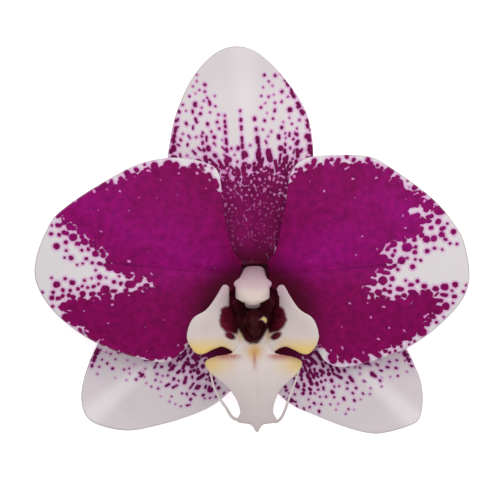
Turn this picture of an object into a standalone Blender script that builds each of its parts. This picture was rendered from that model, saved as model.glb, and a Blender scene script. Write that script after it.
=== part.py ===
"""A moth orchid bloom, picked with a short pedicel and laid face up on a surface.

Three sepals and two petals stand round the column, over the top of the ovary. The lip is hinged below the
column. Lengths are in millimetres from the heart of the bloom, which is the middle of the ring where the
tepals meet. +X is the viewer's right, +Y is up the dorsal sepal and +Z is out of the face.
"""

import math

import bmesh
import bpy
from mathutils import Vector

MM = 0.001
LIFT = 10.5  # height of the heart over the surface that the bloom lies on
HEART = Vector((0.4, -8.3, LIFT))  # the heart, from the point on the surface under the bloom's middle

# Tepals: veins fan out from a narrow claw to the outline. Each outline runs clockwise or back round the tip.
VEINS = 24
STEPS = 8
TEPAL_THICK = 1.0  # at the claw
MARGIN_THICK = 0.8
SEAT_GAP = 0.3  # between pieces that rest on each other
SEPAL_SEAT = -3.2  # middle of a sepal's claw
PETAL_SEAT = SEPAL_SEAT + TEPAL_THICK + SEAT_GAP
VEIN_SPREAD = 0.6  # 0 sends every vein straight ahead at first, 1 straight to its end

SEPAL_DORSAL = {
    "claw": (0.0, 3.15),
    "aim": (-0.05, 1.0),
    "claw_half": 3.0,
    "outline": [
        (-15.6, 15.6), (-18.0, 22.0), (-17.6, 28.6), (-16.1, 35.3), (-12.9, 42.2), (-8.4, 47.1),
        (-3.8, 48.7), (0.9, 47.2), (6.1, 42.2), (10.6, 35.3), (12.1, 28.3), (11.7, 21.5), (9.2, 15.5),
    ],
    "arch": [SEPAL_SEAT, -2.4, -2.1, -2.2, -2.9, -4.5, -7.3, -10.8, -10.8],
    "bow": 2.0,
    "groove": 0.5,
}
SEPAL_LEFT = {
    "claw": (-2.1, -2.3),
    "aim": (-0.85, -0.6),
    "claw_half": 1.7,
    "outline": [
        (-18.0, -3.6), (-24.5, -6.2), (-30.3, -9.6), (-33.2, -14.4), (-35.4, -20.0), (-36.1, -25.0), (-34.7, -28.9),
        (-31.0, -30.7), (-26.0, -31.4), (-20.5, -30.4), (-14.0, -28.5), (-8.7, -26.1), (-4.6, -22.6),
        (-1.7, -17.6),
    ],
    "arch": [SEPAL_SEAT, -2.7, -2.7, -3.2, -4.2, -5.9, -8.3, -10.8, -10.8],
    "bow": 1.6,
    "groove": -0.8,
}
SEPAL_RIGHT = {
    "claw": (2.1, -2.3),
    "aim": (0.85, -0.6),
    "claw_half": 1.7,
    "outline": [
        (18.0, -4.2), (24.2, -6.8), (29.3, -10.4), (32.2, -15.4), (34.5, -20.5), (35.1, -24.6), (34.6, -28.4),
        (33.0, -30.1), (27.5, -31.8), (23.6, -31.9), (18.2, -30.4), (12.0, -27.9), (8.0, -26.1),
        (4.6, -23.2), (1.7, -17.6),
    ],
    "arch": [SEPAL_SEAT, -2.7, -2.7, -3.2, -4.2, -5.9, -8.3, -10.8, -10.8],
    "bow": 1.6,
    "groove": -0.8,
}
PETAL_LEFT = {
    "claw": (-2.8, 1.3),
    "aim": (-1.0, 0.05),
    "claw_half": 2.7,
    "outline": [
        (-7.4, 22.0), (-10.3, 24.3), (-17.0, 25.3), (-24.5, 23.8), (-34.1, 18.5), (-40.4, 14.0),
        (-42.6, 11.2), (-45.1, 5.0), (-45.1, -0.8), (-40.7, -7.4), (-32.0, -13.4), (-20.5, -16.9),
        (-15.3, -15.3), (-12.4, -11.0),
    ],
    "arch": [PETAL_SEAT, 1.2, 2.7, 3.0, 2.2, 0.2],
    "bow": 3.2,
    "groove": 0.5,
}
PETAL_RIGHT = {
    "claw": (2.8, 1.3),
    "aim": (1.0, 0.05),
    "claw_half": 2.7,
    "outline": [
        (7.6, 22.2), (10.8, 25.2), (17.0, 25.9), (24.4, 25.5), (34.4, 18.8), (41.2, 12.5),
        (44.4, 5.5), (44.4, -0.5), (40.9, -6.8), (32.0, -13.8), (20.5, -17.7), (14.8, -16.9),
        (11.9, -11.6),
    ],
    "arch": [PETAL_SEAT, 1.2, 2.7, 3.0, 2.2, 0.2],
    "bow": 3.2,
    "groove": 0.5,
}
TEPAL_FLAT = -LIFT + MARGIN_THICK / 2  # a tip that would reach lower lies flat on the surface

# Column: rings along a line that leaves the heart and leans towards the lip.
COLUMN_SIDES = 18
COLUMN_SQUARE = 0.65  # 1 for an oval section, less for a squarer one
COLUMN_ASIDE = -0.4  # the tip, left of the heart
COLUMN_FOOT = -3.7
COLUMN_LEAN = math.radians(35)
COLUMN_STRAIGHT = 2.5  # length before it starts to lean
COLUMN_LENGTH = 12.4
COLUMN_RINGS = [  # (distance along, half width, dorsal half depth, ventral half depth)
    (0.0, 2.2, 2.5, 2.3), (2.5, 2.1, 2.6, 2.2), (5.0, 2.1, 2.6, 1.9), (7.5, 2.6, 2.5, 1.7),
    (9.5, 3.3, 2.4, 1.8), (11.0, 3.9, 2.3, 2.3), (11.8, 3.95, 2.1, 2.7), (12.4, 3.5, 1.7, 2.7),
]
STIGMA_HOLE = (1.7, 1.5, 1.5)  # half sizes of the hollow in its lower side
STIGMA_ALONG = 9.3

ROSTELLUM_HALF = (1.3, 1.0, 0.8)  # the beak at the column's tip, below the cap

CAP_HALF = (3.3, 2.1, 2.0)  # half width, half height and depth of the anther cap
CAP_SQUARE = 3.0  # 2 for an oval, more for a squarer front
CAP_BEAK = 0.5  # how far its lower rim is drawn down
CAP_DROP = 0.35  # its middle, below the column's line

POLLINIUM_RADIUS = 0.62
POLLINIA_APART = 0.5  # from the middle to the centre of each
POCKET_HALF = (1.6, 1.5)
POCKET_DEEP = 1.5

# Pedicel: it leaves the back, bends down and lies along the surface, with the ovary's ribs at its top.
PEDICEL_SIDES = 24
PEDICEL_RADIUS = 1.5
OVARY_RADIUS = 2.0
OVARY_LENGTH = 11.0
RIB_COUNT = 6
RIB_HIGH = 0.16
CUP_RADIUS = 4.7  # the top of the ovary, where the tepals stand
CUP_TOP = SEPAL_SEAT - TEPAL_THICK / 2 - SEAT_GAP
PEDICEL_ROUTE = [
    (0.0, 0.0, CUP_TOP), (0.0, -0.15, CUP_TOP - 0.9), (0.0, -0.9, CUP_TOP - 2.4),
    (0.0, -2.7, CUP_TOP - 4.0), (0.0, -5.5, PEDICEL_RADIUS - LIFT), (0.0, -12.0, PEDICEL_RADIUS - LIFT),
    (0.0, -18.0, PEDICEL_RADIUS - LIFT), (0.0, -24.0, PEDICEL_RADIUS - LIFT),
]
PEDICEL_STEPS = 17

# Lip: a claw and middle lobe in one ribbon, two side lobes, a callus and two tendrils, all grown together.
LIP_THICK = 1.1
LIP_RIBBON = [  # (x of the middle, y, half width, height) from the claw to the tip
    (-0.2, -2.7, 2.4, -0.9), (-0.2, -5.0, 4.5, 0.2), (-0.2, -8.0, 4.8, 2.4), (-0.2, -11.0, 4.5, 5.0),
    (-0.2, -13.6, 4.0, 7.0), (-0.2, -15.0, 4.2, 7.9), (-0.2, -15.7, 7.6, 8.2), (-0.2, -16.5, 9.6, 8.5),
    (-0.2, -17.6, 9.9, 8.9), (-0.1, -19.2, 8.9, 9.3), (0.0, -20.7, 7.1, 9.6), (0.1, -22.3, 5.4, 9.8),
    (0.3, -24.6, 4.0, 10.1), (0.45, -27.0, 3.4, 10.5), (0.5, -28.3, 3.9, 10.8), (0.5, -29.1, 4.0, 11.0),
    (0.5, -29.7, 2.8, 11.1), (0.5, -30.2, 1.2, 11.2), (0.5, -31.2, 0.35, 11.2),
]
RIBBON_STEPS = 28
RIBBON_ACROSS = 8
SHOULDER_BACK = 0.022  # how fast the middle lobe's sides bend back, per millimetre of width squared
TROUGH = 1.3  # how far the claw's sides stand up

SIDE_LOBE_MARGIN = [
    (4.9, -1.9, 9.3), (5.4, -1.0, 10.1), (6.3, -1.1, 10.5), (7.6, -3.3, 10.9), (9.6, -6.0, 11.3),
    (12.3, -7.8, 11.6), (13.5, -10.8, 11.4), (13.2, -13.0, 11.2), (11.6, -15.0, 11.3),
    (9.9, -15.0, 11.2), (8.6, -14.2, 10.7), (7.2, -13.6, 10.0), (5.7, -13.8, 9.0), (4.2, -14.7, 8.0),
]
SIDE_LOBE_FOLD = [
    (5.2, -3.0, 8.2), (6.3, -5.6, 8.9), (7.3, -8.4, 9.4), (7.0, -10.6, 9.2), (5.8, -12.4, 8.5),
    (3.6, -13.9, 7.6),
]
SIDE_LOBE_ROOT = [(4.5, -5.3, 2.6), (4.2, -7.0, 2.6), (3.6, -10.0, 4.2), (2.4, -13.6, 7.2)]
SIDE_LOBE_STEPS = 20
SIDE_LOBE_ACROSS = 5
LOBE_STRETCH = 0.015  # the left side lobe is wider than the right by twice this share
LOBE_ASIDE = -0.15

CALLUS_CENTRE = (0.0, -9.3, 5.6)
CALLUS_HALF = (2.6, 3.4, 3.0)
CALLUS_TAPER = 0.55  # its width at the lip's end, as a share of its greatest
HORN_CENTRE = (1.9, -8.3, 8.0)
HORN_HALF = (0.75, 0.8, 1.5)

TENDRIL_THICK = 1.0
TENDRIL_END = 0.75
TENDRIL_SIDES = 6
TENDRIL_STEPS = 14
TENDRIL_LEFT = [
    (-2.2, -28.6, 10.6), (-3.9, -28.5, 10.9), (-4.9, -27.7, 11.2), (-5.8, -26.2, 11.3), (-6.8, -24.8, 11.0),
    (-8.1, -22.6, 10.0), (-8.8, -20.3, 8.6), (-9.2, -18.4, 6.9),
]
TENDRIL_RIGHT = [
    (2.8, -28.9, 10.6), (4.5, -29.0, 10.9), (5.5, -28.2, 11.2), (6.3, -26.6, 11.4), (6.8, -25.0, 11.2),
    (7.6, -22.8, 10.2), (8.5, -20.5, 8.7), (9.2, -18.5, 6.9),
]

FINE_STEPS = 24  # samples between two known points of a smooth curve


def smooth_curve(points, count):
    """Points spaced evenly along a smooth curve through the given ones."""
    known = [Vector(p) for p in points]
    run = [2 * known[0] - known[1], *known, 2 * known[-1] - known[-2]]
    fine = []
    for a, b, c, d in zip(run, run[1:], run[2:], run[3:]):
        for step in range(FINE_STEPS):
            u = step / FINE_STEPS
            square = 2 * a - 5 * b + 4 * c - d
            cube = 3 * b - a - 3 * c + d
            fine.append((2 * b + (c - a) * u + square * u**2 + cube * u**3) / 2)
    fine.append(known[-1])
    travelled = [0.0]
    for p, q in zip(fine, fine[1:]):
        travelled.append(travelled[-1] + (q - p).length)
    spaced, i = [], 0
    for k in range(count):
        target = travelled[-1] * k / (count - 1)
        while i < len(fine) - 2 and travelled[i + 1] < target:
            i += 1
        share = (target - travelled[i]) / (travelled[i + 1] - travelled[i])
        spaced.append(fine[i].lerp(fine[i + 1], share))
    return spaced


def smooth_value(values, share):
    """The value at a share, from 0 to 1, of a smooth run through evenly spaced ones."""
    place = min(max(share, 0.0), 1.0) * (len(values) - 1)
    i = min(int(place), len(values) - 2)
    u = place - i
    b, c = values[i], values[i + 1]
    a = values[i - 1] if i else 2 * b - c
    d = values[i + 2] if i + 2 < len(values) else 2 * c - b
    square = 2 * a - 5 * b + 4 * c - d
    cube = 3 * b - a - 3 * c + d
    return (2 * b + (c - a) * u + square * u**2 + cube * u**3) / 2


def mix(low, high, share):
    return low + (high - low) * share


def tissue(name, colour, roughness):
    """A plant tissue's plain material, with its colour as linear red, green and blue."""
    material = bpy.data.materials.new(name)
    material.use_nodes = True
    shader = material.node_tree.nodes["Principled BSDF"]
    shader.inputs["Base Color"].default_value = (*colour, 1.0)
    shader.inputs["Roughness"].default_value = roughness
    shader.inputs["Metallic"].default_value = 0.0
    return material


def finished(name, bm, material, sharp_deg=50):
    """An object made from bm, moved from the heart's millimetres to metres over the surface."""
    bmesh.ops.recalc_face_normals(bm, faces=bm.faces[:])
    for vert in bm.verts:
        vert.co = (vert.co + HEART) * MM
    mesh = bpy.data.meshes.new(name)
    bm.to_mesh(mesh)
    bm.free()
    mesh.shade_smooth()
    mesh.set_sharp_from_angle(angle=math.radians(sharp_deg))
    mesh.materials.append(material)
    obj = bpy.data.objects.new(name, mesh)
    bpy.context.scene.collection.objects.link(obj)
    return obj


def grid_sheet(columns, rows, place):
    """An open sheet whose points are place(across, along), each from 0 to 1, with the grid of its points."""
    bm = bmesh.new()
    made = bmesh.ops.create_grid(bm, x_segments=columns, y_segments=rows, size=1.0)
    for vert in made["verts"]:
        across = round((vert.co.x + 1) / 2 * columns) / columns
        along = round((vert.co.y + 1) / 2 * rows) / rows
        vert.co = place(across, along)
    return bm


def close_sheet(bm, offsets):
    """Makes the open sheet a solid: each point gives a front and a back, moved by half its own offset."""
    bmesh.ops.triangulate(bm, faces=bm.faces[:])
    front = bm.verts[:]
    shifts = [offsets(vert) / 2 for vert in front]
    copy = bmesh.ops.duplicate(bm, geom=bm.verts[:] + bm.edges[:] + bm.faces[:])
    for vert, shift in zip(front, shifts):
        back = copy["vert_map"][vert]
        back.co = vert.co - shift
        vert.co = vert.co + shift
    rim = [edge for edge in bm.edges if edge.is_boundary]
    bmesh.ops.bridge_loops(bm, edges=rim)


def tepal(name, form, material):
    """A sepal or a petal: a blade that widens from its claw, arched along its veins and rolled at its sides."""
    rim = smooth_curve([(*p, 0.0) for p in form["outline"]], VEINS + 1)
    claw = Vector((*form["claw"], 0.0))
    aim = Vector((*form["aim"], 0.0)).normalized()
    side = Vector((-aim.y, aim.x, 0.0))
    if (rim[0] - claw).dot(side) < 0:
        side.negate()
    half = form["claw_half"]
    reach_far = max((p - claw).length for p in rim)
    tip_way = (rim[VEINS // 2] - claw).normalized()
    across_axis = Vector((-tip_way.y, tip_way.x, 0.0))
    half_span = max(abs((p - claw).dot(across_axis)) for p in rim)

    def place(across, along):
        centred = 2 * across - 1
        start = claw - side * centred * half
        end = rim[round(across * VEINS)]
        reach = end - start
        ahead = aim * (1 - VEIN_SPREAD) + reach.normalized() * VEIN_SPREAD
        bend = start + ahead.normalized() * reach.length / 2
        flat = start * (1 - along) ** 2 + bend * 2 * along * (1 - along) + end * along**2
        out = flat - claw
        height = smooth_value(form["arch"], out.length / reach_far)
        height -= form["bow"] * (abs(out.dot(across_axis)) / half_span) ** 2.4
        height -= form["groove"] * math.exp(-((centred / 0.12) ** 2)) * math.sin(math.pi * along)
        return Vector((flat.x, flat.y, max(height, TEPAL_FLAT)))

    bm = grid_sheet(VEINS, STEPS, place)

    def thickness(vert):
        away = min((vert.co.xy - claw.xy).length / 20.0, 1.0)
        return Vector((0, 0, mix(TEPAL_THICK, MARGIN_THICK, away)))

    close_sheet(bm, thickness)
    return finished(name, bm, material)


def column_frame(along):
    """A point on the column's line, with its dorsal and its forward direction there."""
    turn_length = COLUMN_LENGTH - COLUMN_STRAIGHT
    radius = turn_length / COLUMN_LEAN
    turned = max(along - COLUMN_STRAIGHT, 0.0) / radius
    y = -radius * (1 - math.cos(turned))
    z = COLUMN_FOOT + min(along, COLUMN_STRAIGHT) + radius * math.sin(turned)
    dorsal = Vector((0, math.cos(turned), math.sin(turned)))
    forward = Vector((0, -math.sin(turned), math.cos(turned)))
    return Vector((COLUMN_ASIDE * along / COLUMN_LENGTH, y + 0.3, z)), dorsal, forward


def ring_loft(bm, rings):
    """Bridges rings of points, in order, and closes both ends."""
    loops = []
    for ring in rings:
        verts = [bm.verts.new(p) for p in ring]
        loops.append([bm.edges.new((verts[i - 1], verts[i])) for i in range(len(verts))])
    for first, second in zip(loops, loops[1:]):
        bmesh.ops.bridge_loops(bm, edges=first + second)
    bmesh.ops.holes_fill(bm, edges=loops[0] + loops[-1], sides=0)


def applied(obj, modifier):
    """Leaves the modifier's result in the object's own mesh, and takes the modifier away."""
    graph = bpy.context.evaluated_depsgraph_get()
    mesh = bpy.data.meshes.new_from_object(obj.evaluated_get(graph))
    obj.modifiers.remove(modifier)
    obj.data = mesh
    return obj


def cut(obj, cutter):
    """Takes the cutter's shape out of the object, and removes the cutter."""
    boolean = obj.modifiers.new("hollow", "BOOLEAN")
    boolean.operation = "DIFFERENCE"
    boolean.object = cutter
    boolean.solver = "EXACT"
    applied(obj, boolean)
    bpy.data.objects.remove(cutter)


def ellipsoid(centre, half, axes, u=16, v=10):
    """A ball stretched to the half sizes along the three axes."""
    bm = bmesh.new()
    bmesh.ops.create_uvsphere(bm, u_segments=u, v_segments=v, radius=1.0)
    for vert in bm.verts:
        x, y, z = vert.co
        vert.co = Vector(centre) + axes[0] * x * half[0] + axes[1] * y * half[1] + axes[2] * z * half[2]
    return bm


WORLD_AXES = (Vector((1, 0, 0)), Vector((0, 1, 0)), Vector((0, 0, 1)))


def make_column(material):
    """The column: narrow at its foot, with wings beside its tip and the stigma's hollow below it."""
    rings = []
    for along, half, dorsal_half, ventral_half in COLUMN_RINGS:
        centre, dorsal, _ = column_frame(along)
        ring = []
        for i in range(COLUMN_SIDES):
            turn = 2 * math.pi * i / COLUMN_SIDES
            over = math.copysign(abs(math.cos(turn)) ** COLUMN_SQUARE, math.cos(turn)) * half
            depth = dorsal_half if math.sin(turn) > 0 else ventral_half
            up = math.copysign(abs(math.sin(turn)) ** COLUMN_SQUARE, math.sin(turn)) * depth
            ring.append(centre + WORLD_AXES[0] * over + dorsal * up)
        rings.append(ring)
    bm = bmesh.new()
    ring_loft(bm, rings)
    column = finished("column", bm, material)

    centre, dorsal, forward = column_frame(COLUMN_LENGTH)
    beak = ellipsoid(centre - dorsal * 2.7 - forward * 0.9, ROSTELLUM_HALF, (WORLD_AXES[0], dorsal, forward), 10, 8)
    joined(column, [finished("rostellum", beak, material)])

    centre, dorsal, forward = column_frame(STIGMA_ALONG)
    hollow = ellipsoid(centre - dorsal * 2.2, STIGMA_HOLE, (WORLD_AXES[0], forward, dorsal))
    cut(column, finished("stigma_cutter", hollow, material))

    centre, dorsal, forward = column_frame(COLUMN_LENGTH)
    pocket = bmesh.new()
    bmesh.ops.create_cube(pocket, size=2.0)
    for vert in pocket.verts:
        x, y, z = vert.co
        place = centre - dorsal * CAP_DROP + WORLD_AXES[0] * x * POCKET_HALF[0] + dorsal * y * POCKET_HALF[1]
        vert.co = place + forward * POCKET_DEEP * z
    cut(column, finished("pocket_cutter", pocket, material))
    return column


def make_cap(material):
    """The anther cap: a dome on the column's tip, with its lower rim drawn into a short beak."""
    centre, dorsal, forward = column_frame(COLUMN_LENGTH)
    base = centre - dorsal * CAP_DROP + forward * SEAT_GAP
    bm = bmesh.new()
    bmesh.ops.create_uvsphere(bm, u_segments=20, v_segments=12, radius=1.0)
    bmesh.ops.bisect_plane(
        bm, geom=bm.verts[:] + bm.edges[:] + bm.faces[:], plane_co=(0, 0, 0), plane_no=(0, 0, 1), clear_inner=True
    )
    bmesh.ops.holes_fill(bm, edges=[e for e in bm.edges if e.is_boundary], sides=0)
    for vert in bm.verts:
        x, y, z = vert.co
        radius = math.hypot(x, y)
        if radius > 1e-6:
            squarer = (abs(x / radius) ** CAP_SQUARE + abs(y / radius) ** CAP_SQUARE) ** (-1 / CAP_SQUARE)
            x *= squarer
            y *= squarer
        beak = CAP_BEAK * max(-y, 0.0) ** 3 * max(1 - abs(x), 0.0)
        up = y * CAP_HALF[1] - beak
        vert.co = base + WORLD_AXES[0] * x * CAP_HALF[0] + dorsal * up + forward * z * CAP_HALF[2]
    return finished("anther_cap", bm, material)


def make_pollinia(material):
    """The two waxy pollen masses, joined by their short stalk, in the pocket under the cap."""
    centre, dorsal, forward = column_frame(COLUMN_LENGTH)
    middle = centre - dorsal * CAP_DROP - forward * (POCKET_DEEP / 2 - 0.05)
    axes = (WORLD_AXES[0], dorsal, forward)
    size = (POLLINIUM_RADIUS, POLLINIUM_RADIUS * 1.3, POLLINIUM_RADIUS * 0.8)
    left = finished("pollinia", ellipsoid(middle - axes[0] * POLLINIA_APART, size, axes, 10, 6), material)
    right = finished("pollinium", ellipsoid(middle + axes[0] * POLLINIA_APART, size, axes, 10, 6), material)
    stalk_middle = middle - dorsal * 0.75
    stalk = finished("stalk", ellipsoid(stalk_middle, (0.35, 0.6, 0.3), axes, 8, 6), material)
    return joined(left, [right, stalk])


def joined(obj, others):
    """Grows the other objects into this one, as one closed body."""
    group = bpy.data.collections.new("growing")
    bpy.context.scene.collection.children.link(group)
    for other in others:
        group.objects.link(other)
    union = obj.modifiers.new("grown_together", "BOOLEAN")
    union.operation = "UNION"
    union.operand_type = "COLLECTION"
    union.collection = group
    union.solver = "EXACT"
    applied(obj, union)
    for other in others:
        bpy.data.objects.remove(other)
    bpy.data.collections.remove(group)
    return obj


def make_pedicel(material):
    """The ovary and pedicel: a shallow cup under the tepals, six low ribs, then a round stalk to its cut end."""
    route = smooth_curve(PEDICEL_ROUTE, PEDICEL_STEPS + 1)
    run = sum((q - p).length for p, q in zip(route, route[1:]))
    rings = []
    travelled = 0.0
    for i, point in enumerate(route):
        ahead = (route[min(i + 1, PEDICEL_STEPS)] - route[max(i - 1, 0)]).normalized()
        if i == 0:
            ahead = Vector((0, 0, -1))
        if i:
            travelled += (point - route[i - 1]).length
        ribbed = max(0.0, 1 - travelled / OVARY_LENGTH)
        radius = mix(PEDICEL_RADIUS, OVARY_RADIUS, ribbed**0.5)
        flare = (CUP_RADIUS - OVARY_RADIUS) * math.exp(-((travelled / 1.1) ** 2))
        up = WORLD_AXES[0].cross(ahead)
        ring = []
        for k in range(PEDICEL_SIDES):
            turn = 2 * math.pi * (k + 0.5) / PEDICEL_SIDES
            rib = RIB_HIGH * math.cos(RIB_COUNT * turn) * ribbed
            size = radius + rib + flare
            spot = point + WORLD_AXES[0] * size * math.cos(turn) + up * size * math.sin(turn)
            spot.z = max(spot.z, -LIFT)
            ring.append(spot)
        rings.append(ring)
    bm = bmesh.new()
    ring_loft(bm, rings)
    print(f"pedicel {run:.1f} mm long")
    return finished("pedicel_and_ovary", bm, material)


def along_normal(thickness):
    """An offset rule for close_sheet: the given thickness along each point's own normal."""
    return lambda vert: vert.normal.copy() * thickness


def lip_ribbon(material):
    """The lip's claw and middle lobe: a trough at the claw, wide shoulders, a waist and a small pointed tip."""
    line = smooth_curve([(x, y, z) for x, y, _, z in LIP_RIBBON], RIBBON_STEPS + 1)
    known = smooth_curve([(w, y, 0.0) for _, y, w, _ in LIP_RIBBON], 40 * RIBBON_STEPS)

    def half_width(y):
        return min(known, key=lambda p: abs(p.y - y)).x

    def place(across, along):
        centre = line[round(along * RIBBON_STEPS)]
        half = half_width(centre.y)
        x = (2 * across - 1) * half
        in_claw = max(0.0, 1 - along / 0.36)
        height = centre.z - SHOULDER_BACK * x * x * (1 - in_claw)
        height += TROUGH * (2 * across - 1) ** 2 * in_claw
        height -= 0.35 * math.exp(-((x / 0.7) ** 2)) * math.sin(math.pi * min(along * 1.1, 1.0))
        return Vector((centre.x + x, centre.y, height))

    bm = grid_sheet(RIBBON_ACROSS, RIBBON_STEPS, place)
    bm.normal_update()
    close_sheet(bm, along_normal(LIP_THICK))
    return finished("lip", bm, material)


def side_lobe(name, sign, material):
    """One side lobe: it rises from the claw beside the column, folds forward and flares to a broad rim."""
    margin = smooth_curve(SIDE_LOBE_MARGIN, SIDE_LOBE_STEPS + 1)
    fold = smooth_curve(SIDE_LOBE_FOLD, SIDE_LOBE_STEPS + 1)
    root = smooth_curve(SIDE_LOBE_ROOT, SIDE_LOBE_STEPS + 1)

    def place(across, along):
        i = round(across * SIDE_LOBE_STEPS)
        bend = 2 * fold[i] - (root[i] + margin[i]) / 2
        spot = root[i] * (1 - along) ** 2 + bend * 2 * along * (1 - along) + margin[i] * along**2
        return Vector((spot.x * (sign - LOBE_STRETCH) + LOBE_ASIDE, spot.y, spot.z))

    bm = grid_sheet(SIDE_LOBE_STEPS, SIDE_LOBE_ACROSS, place)
    bm.normal_update()
    close_sheet(bm, along_normal(LIP_THICK * 0.85))
    return finished(name, bm, material)


def tendril(name, route, material):
    """One of the two thin tails that leave the lip's tip and curl back beside it."""
    line = smooth_curve(route, TENDRIL_STEPS + 1)
    rings = []
    for i, point in enumerate(line):
        ahead = (line[min(i + 1, TENDRIL_STEPS)] - line[max(i - 1, 0)]).normalized()
        out = ahead.cross(WORLD_AXES[2]).normalized()
        up = out.cross(ahead)
        radius = mix(TENDRIL_THICK, TENDRIL_END, i / TENDRIL_STEPS) / 2
        turns = [2 * math.pi * k / TENDRIL_SIDES for k in range(TENDRIL_SIDES)]
        rings.append([point + out * radius * math.cos(t) + up * radius * math.sin(t) for t in turns])
    bm = bmesh.new()
    ring_loft(bm, rings)
    return finished(name, bm, material)


def callus_body(material):
    """The fleshy block in the throat, which narrows to the middle lobe."""
    bm = ellipsoid(CALLUS_CENTRE, CALLUS_HALF, WORLD_AXES, 14, 10)
    low = CALLUS_CENTRE[1] - CALLUS_HALF[1]
    for vert in bm.verts:
        share = (vert.co.y - low) / (2 * CALLUS_HALF[1])
        vert.co.x *= mix(CALLUS_TAPER, 1.0, min(share * 1.5, 1.0))
    return finished("callus", bm, material)


def make_lip(material):
    """The lip, with all that grows on it in one body."""
    lip = lip_ribbon(material)
    horn_left = ellipsoid((-HORN_CENTRE[0], *HORN_CENTRE[1:]), HORN_HALF, WORLD_AXES, 8, 6)
    horn_right = ellipsoid(HORN_CENTRE, HORN_HALF, WORLD_AXES, 8, 6)
    grown = [
        side_lobe("side_lobe_left", -1, material),
        side_lobe("side_lobe_right", 1, material),
        callus_body(material),
        finished("horn_left", horn_left, material),
        finished("horn_right", horn_right, material),
        tendril("tendril_left", TENDRIL_LEFT, material),
        tendril("tendril_right", TENDRIL_RIGHT, material),
    ]
    return joined(lip, grown)


def main():
    for obj in list(bpy.data.objects):
        bpy.data.objects.remove(obj)
    magenta = tissue("petal_magenta", (0.25, 0.01, 0.14), 0.5)
    blush = tissue("sepal_white", (0.66, 0.58, 0.62), 0.5)
    cream = tissue("lip_cream", (0.70, 0.62, 0.56), 0.45)
    lilac = tissue("column_lilac", (0.52, 0.38, 0.44), 0.45)
    ivory = tissue("cap_ivory", (0.76, 0.68, 0.58), 0.4)
    wax = tissue("pollinia_yellow", (0.75, 0.45, 0.05), 0.4)
    green = tissue("pedicel_green", (0.32, 0.34, 0.16), 0.5)
    tepal("sepal_dorsal", SEPAL_DORSAL, blush)
    tepal("sepal_lateral_left", SEPAL_LEFT, blush)
    tepal("sepal_lateral_right", SEPAL_RIGHT, blush)
    tepal("petal_left", PETAL_LEFT, magenta)
    tepal("petal_right", PETAL_RIGHT, magenta)
    make_column(lilac)
    make_cap(ivory)
    make_pollinia(wax)
    make_pedicel(green)
    make_lip(cream)


main()
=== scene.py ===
import math
import random

import bmesh
import bpy
import numpy as np
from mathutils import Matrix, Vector


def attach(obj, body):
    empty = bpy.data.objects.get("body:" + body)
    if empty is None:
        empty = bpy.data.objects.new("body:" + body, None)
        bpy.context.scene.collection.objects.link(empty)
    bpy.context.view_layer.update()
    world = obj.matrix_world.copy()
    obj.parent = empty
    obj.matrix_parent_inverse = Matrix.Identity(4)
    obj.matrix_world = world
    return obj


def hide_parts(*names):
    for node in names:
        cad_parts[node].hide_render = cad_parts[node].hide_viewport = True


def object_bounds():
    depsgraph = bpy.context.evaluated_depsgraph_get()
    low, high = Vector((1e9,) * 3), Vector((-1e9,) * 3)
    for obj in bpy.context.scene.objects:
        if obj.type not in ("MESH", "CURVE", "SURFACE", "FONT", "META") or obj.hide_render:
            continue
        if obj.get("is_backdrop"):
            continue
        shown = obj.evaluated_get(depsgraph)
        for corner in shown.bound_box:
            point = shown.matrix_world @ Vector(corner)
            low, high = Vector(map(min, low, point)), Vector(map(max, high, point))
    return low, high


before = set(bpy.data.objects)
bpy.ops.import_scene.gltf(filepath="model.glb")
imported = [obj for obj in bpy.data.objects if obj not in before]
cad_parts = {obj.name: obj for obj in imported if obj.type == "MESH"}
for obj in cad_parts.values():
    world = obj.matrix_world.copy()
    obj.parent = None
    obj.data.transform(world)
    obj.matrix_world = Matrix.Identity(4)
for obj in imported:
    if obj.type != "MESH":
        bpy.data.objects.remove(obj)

CAD_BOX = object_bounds()

# Pedicel and ovary
# The flower's own stalk, green and lilac, with six low ribs where the ovary swells, and a shallow cup at its
# top. It grew as one piece, was cut at its lower end, and lies along the surface under the bloom.
MM = 0.001
LIFT = 10.5  # height of the heart over the surface, in millimetres as every length below
HEART = Vector((0.4, -8.3, LIFT))  # middle of the ring where the tepals meet; shapes are measured from it
RIGHT = Vector((1, 0, 0))
SEPAL_SEAT = -3.2  # height of the sepals' claws
TEPAL_THICK = 1.0  # at the claws
SEAT_GAP = 0.3  # between two pieces that are seated on each other
CUP_TOP = SEPAL_SEAT - TEPAL_THICK / 2 - SEAT_GAP
CUP_RADIUS = 4.7
CUP_FLARE = 1.1  # length over which the cup narrows to the ovary
CUP_MAROON = 0.6  # how far down from its top the cup's maroon fades out
OVARY_RADIUS = 2.0
OVARY_LENGTH = 11.0
STALK_RADIUS = 1.5
STALK_LOW = STALK_RADIUS - LIFT  # where it lies on the surface
RIBS = 6
RIB_HIGH = 0.16
STALK_ROUTE = [
    (0.0, 0.0, CUP_TOP), (0.0, -0.15, CUP_TOP - 0.9), (0.0, -0.9, CUP_TOP - 2.4), (0.0, -2.7, CUP_TOP - 4.0),
    (0.0, -5.5, STALK_LOW), (0.0, -12.0, STALK_LOW), (0.0, -18.0, STALK_LOW), (0.0, -24.0, STALK_LOW),
]
STALK_SIDES = 96
STALK_RINGS = 110
FINE = 24  # samples between two known points of a smooth curve


def mix(low, high, share):
    return low + (high - low) * share


def hump(value, middle, width):
    """1 at the middle, falling smoothly to about a third one width away from it."""
    return np.exp(-(((value - middle) / width) ** 2))


def turns(count):
    """Evenly spaced angles round a full turn."""
    return [2 * math.pi * k / count for k in range(count)]


def between(a, b, c, d, share):
    """A value or point on a smooth run through four, at a share of the way from the second to the third."""
    square = 2 * a - 5 * b + 4 * c - d
    cube = 3 * b - a - 3 * c + d
    return (2 * b + (c - a) * share + square * share**2 + cube * share**3) / 2


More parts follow.
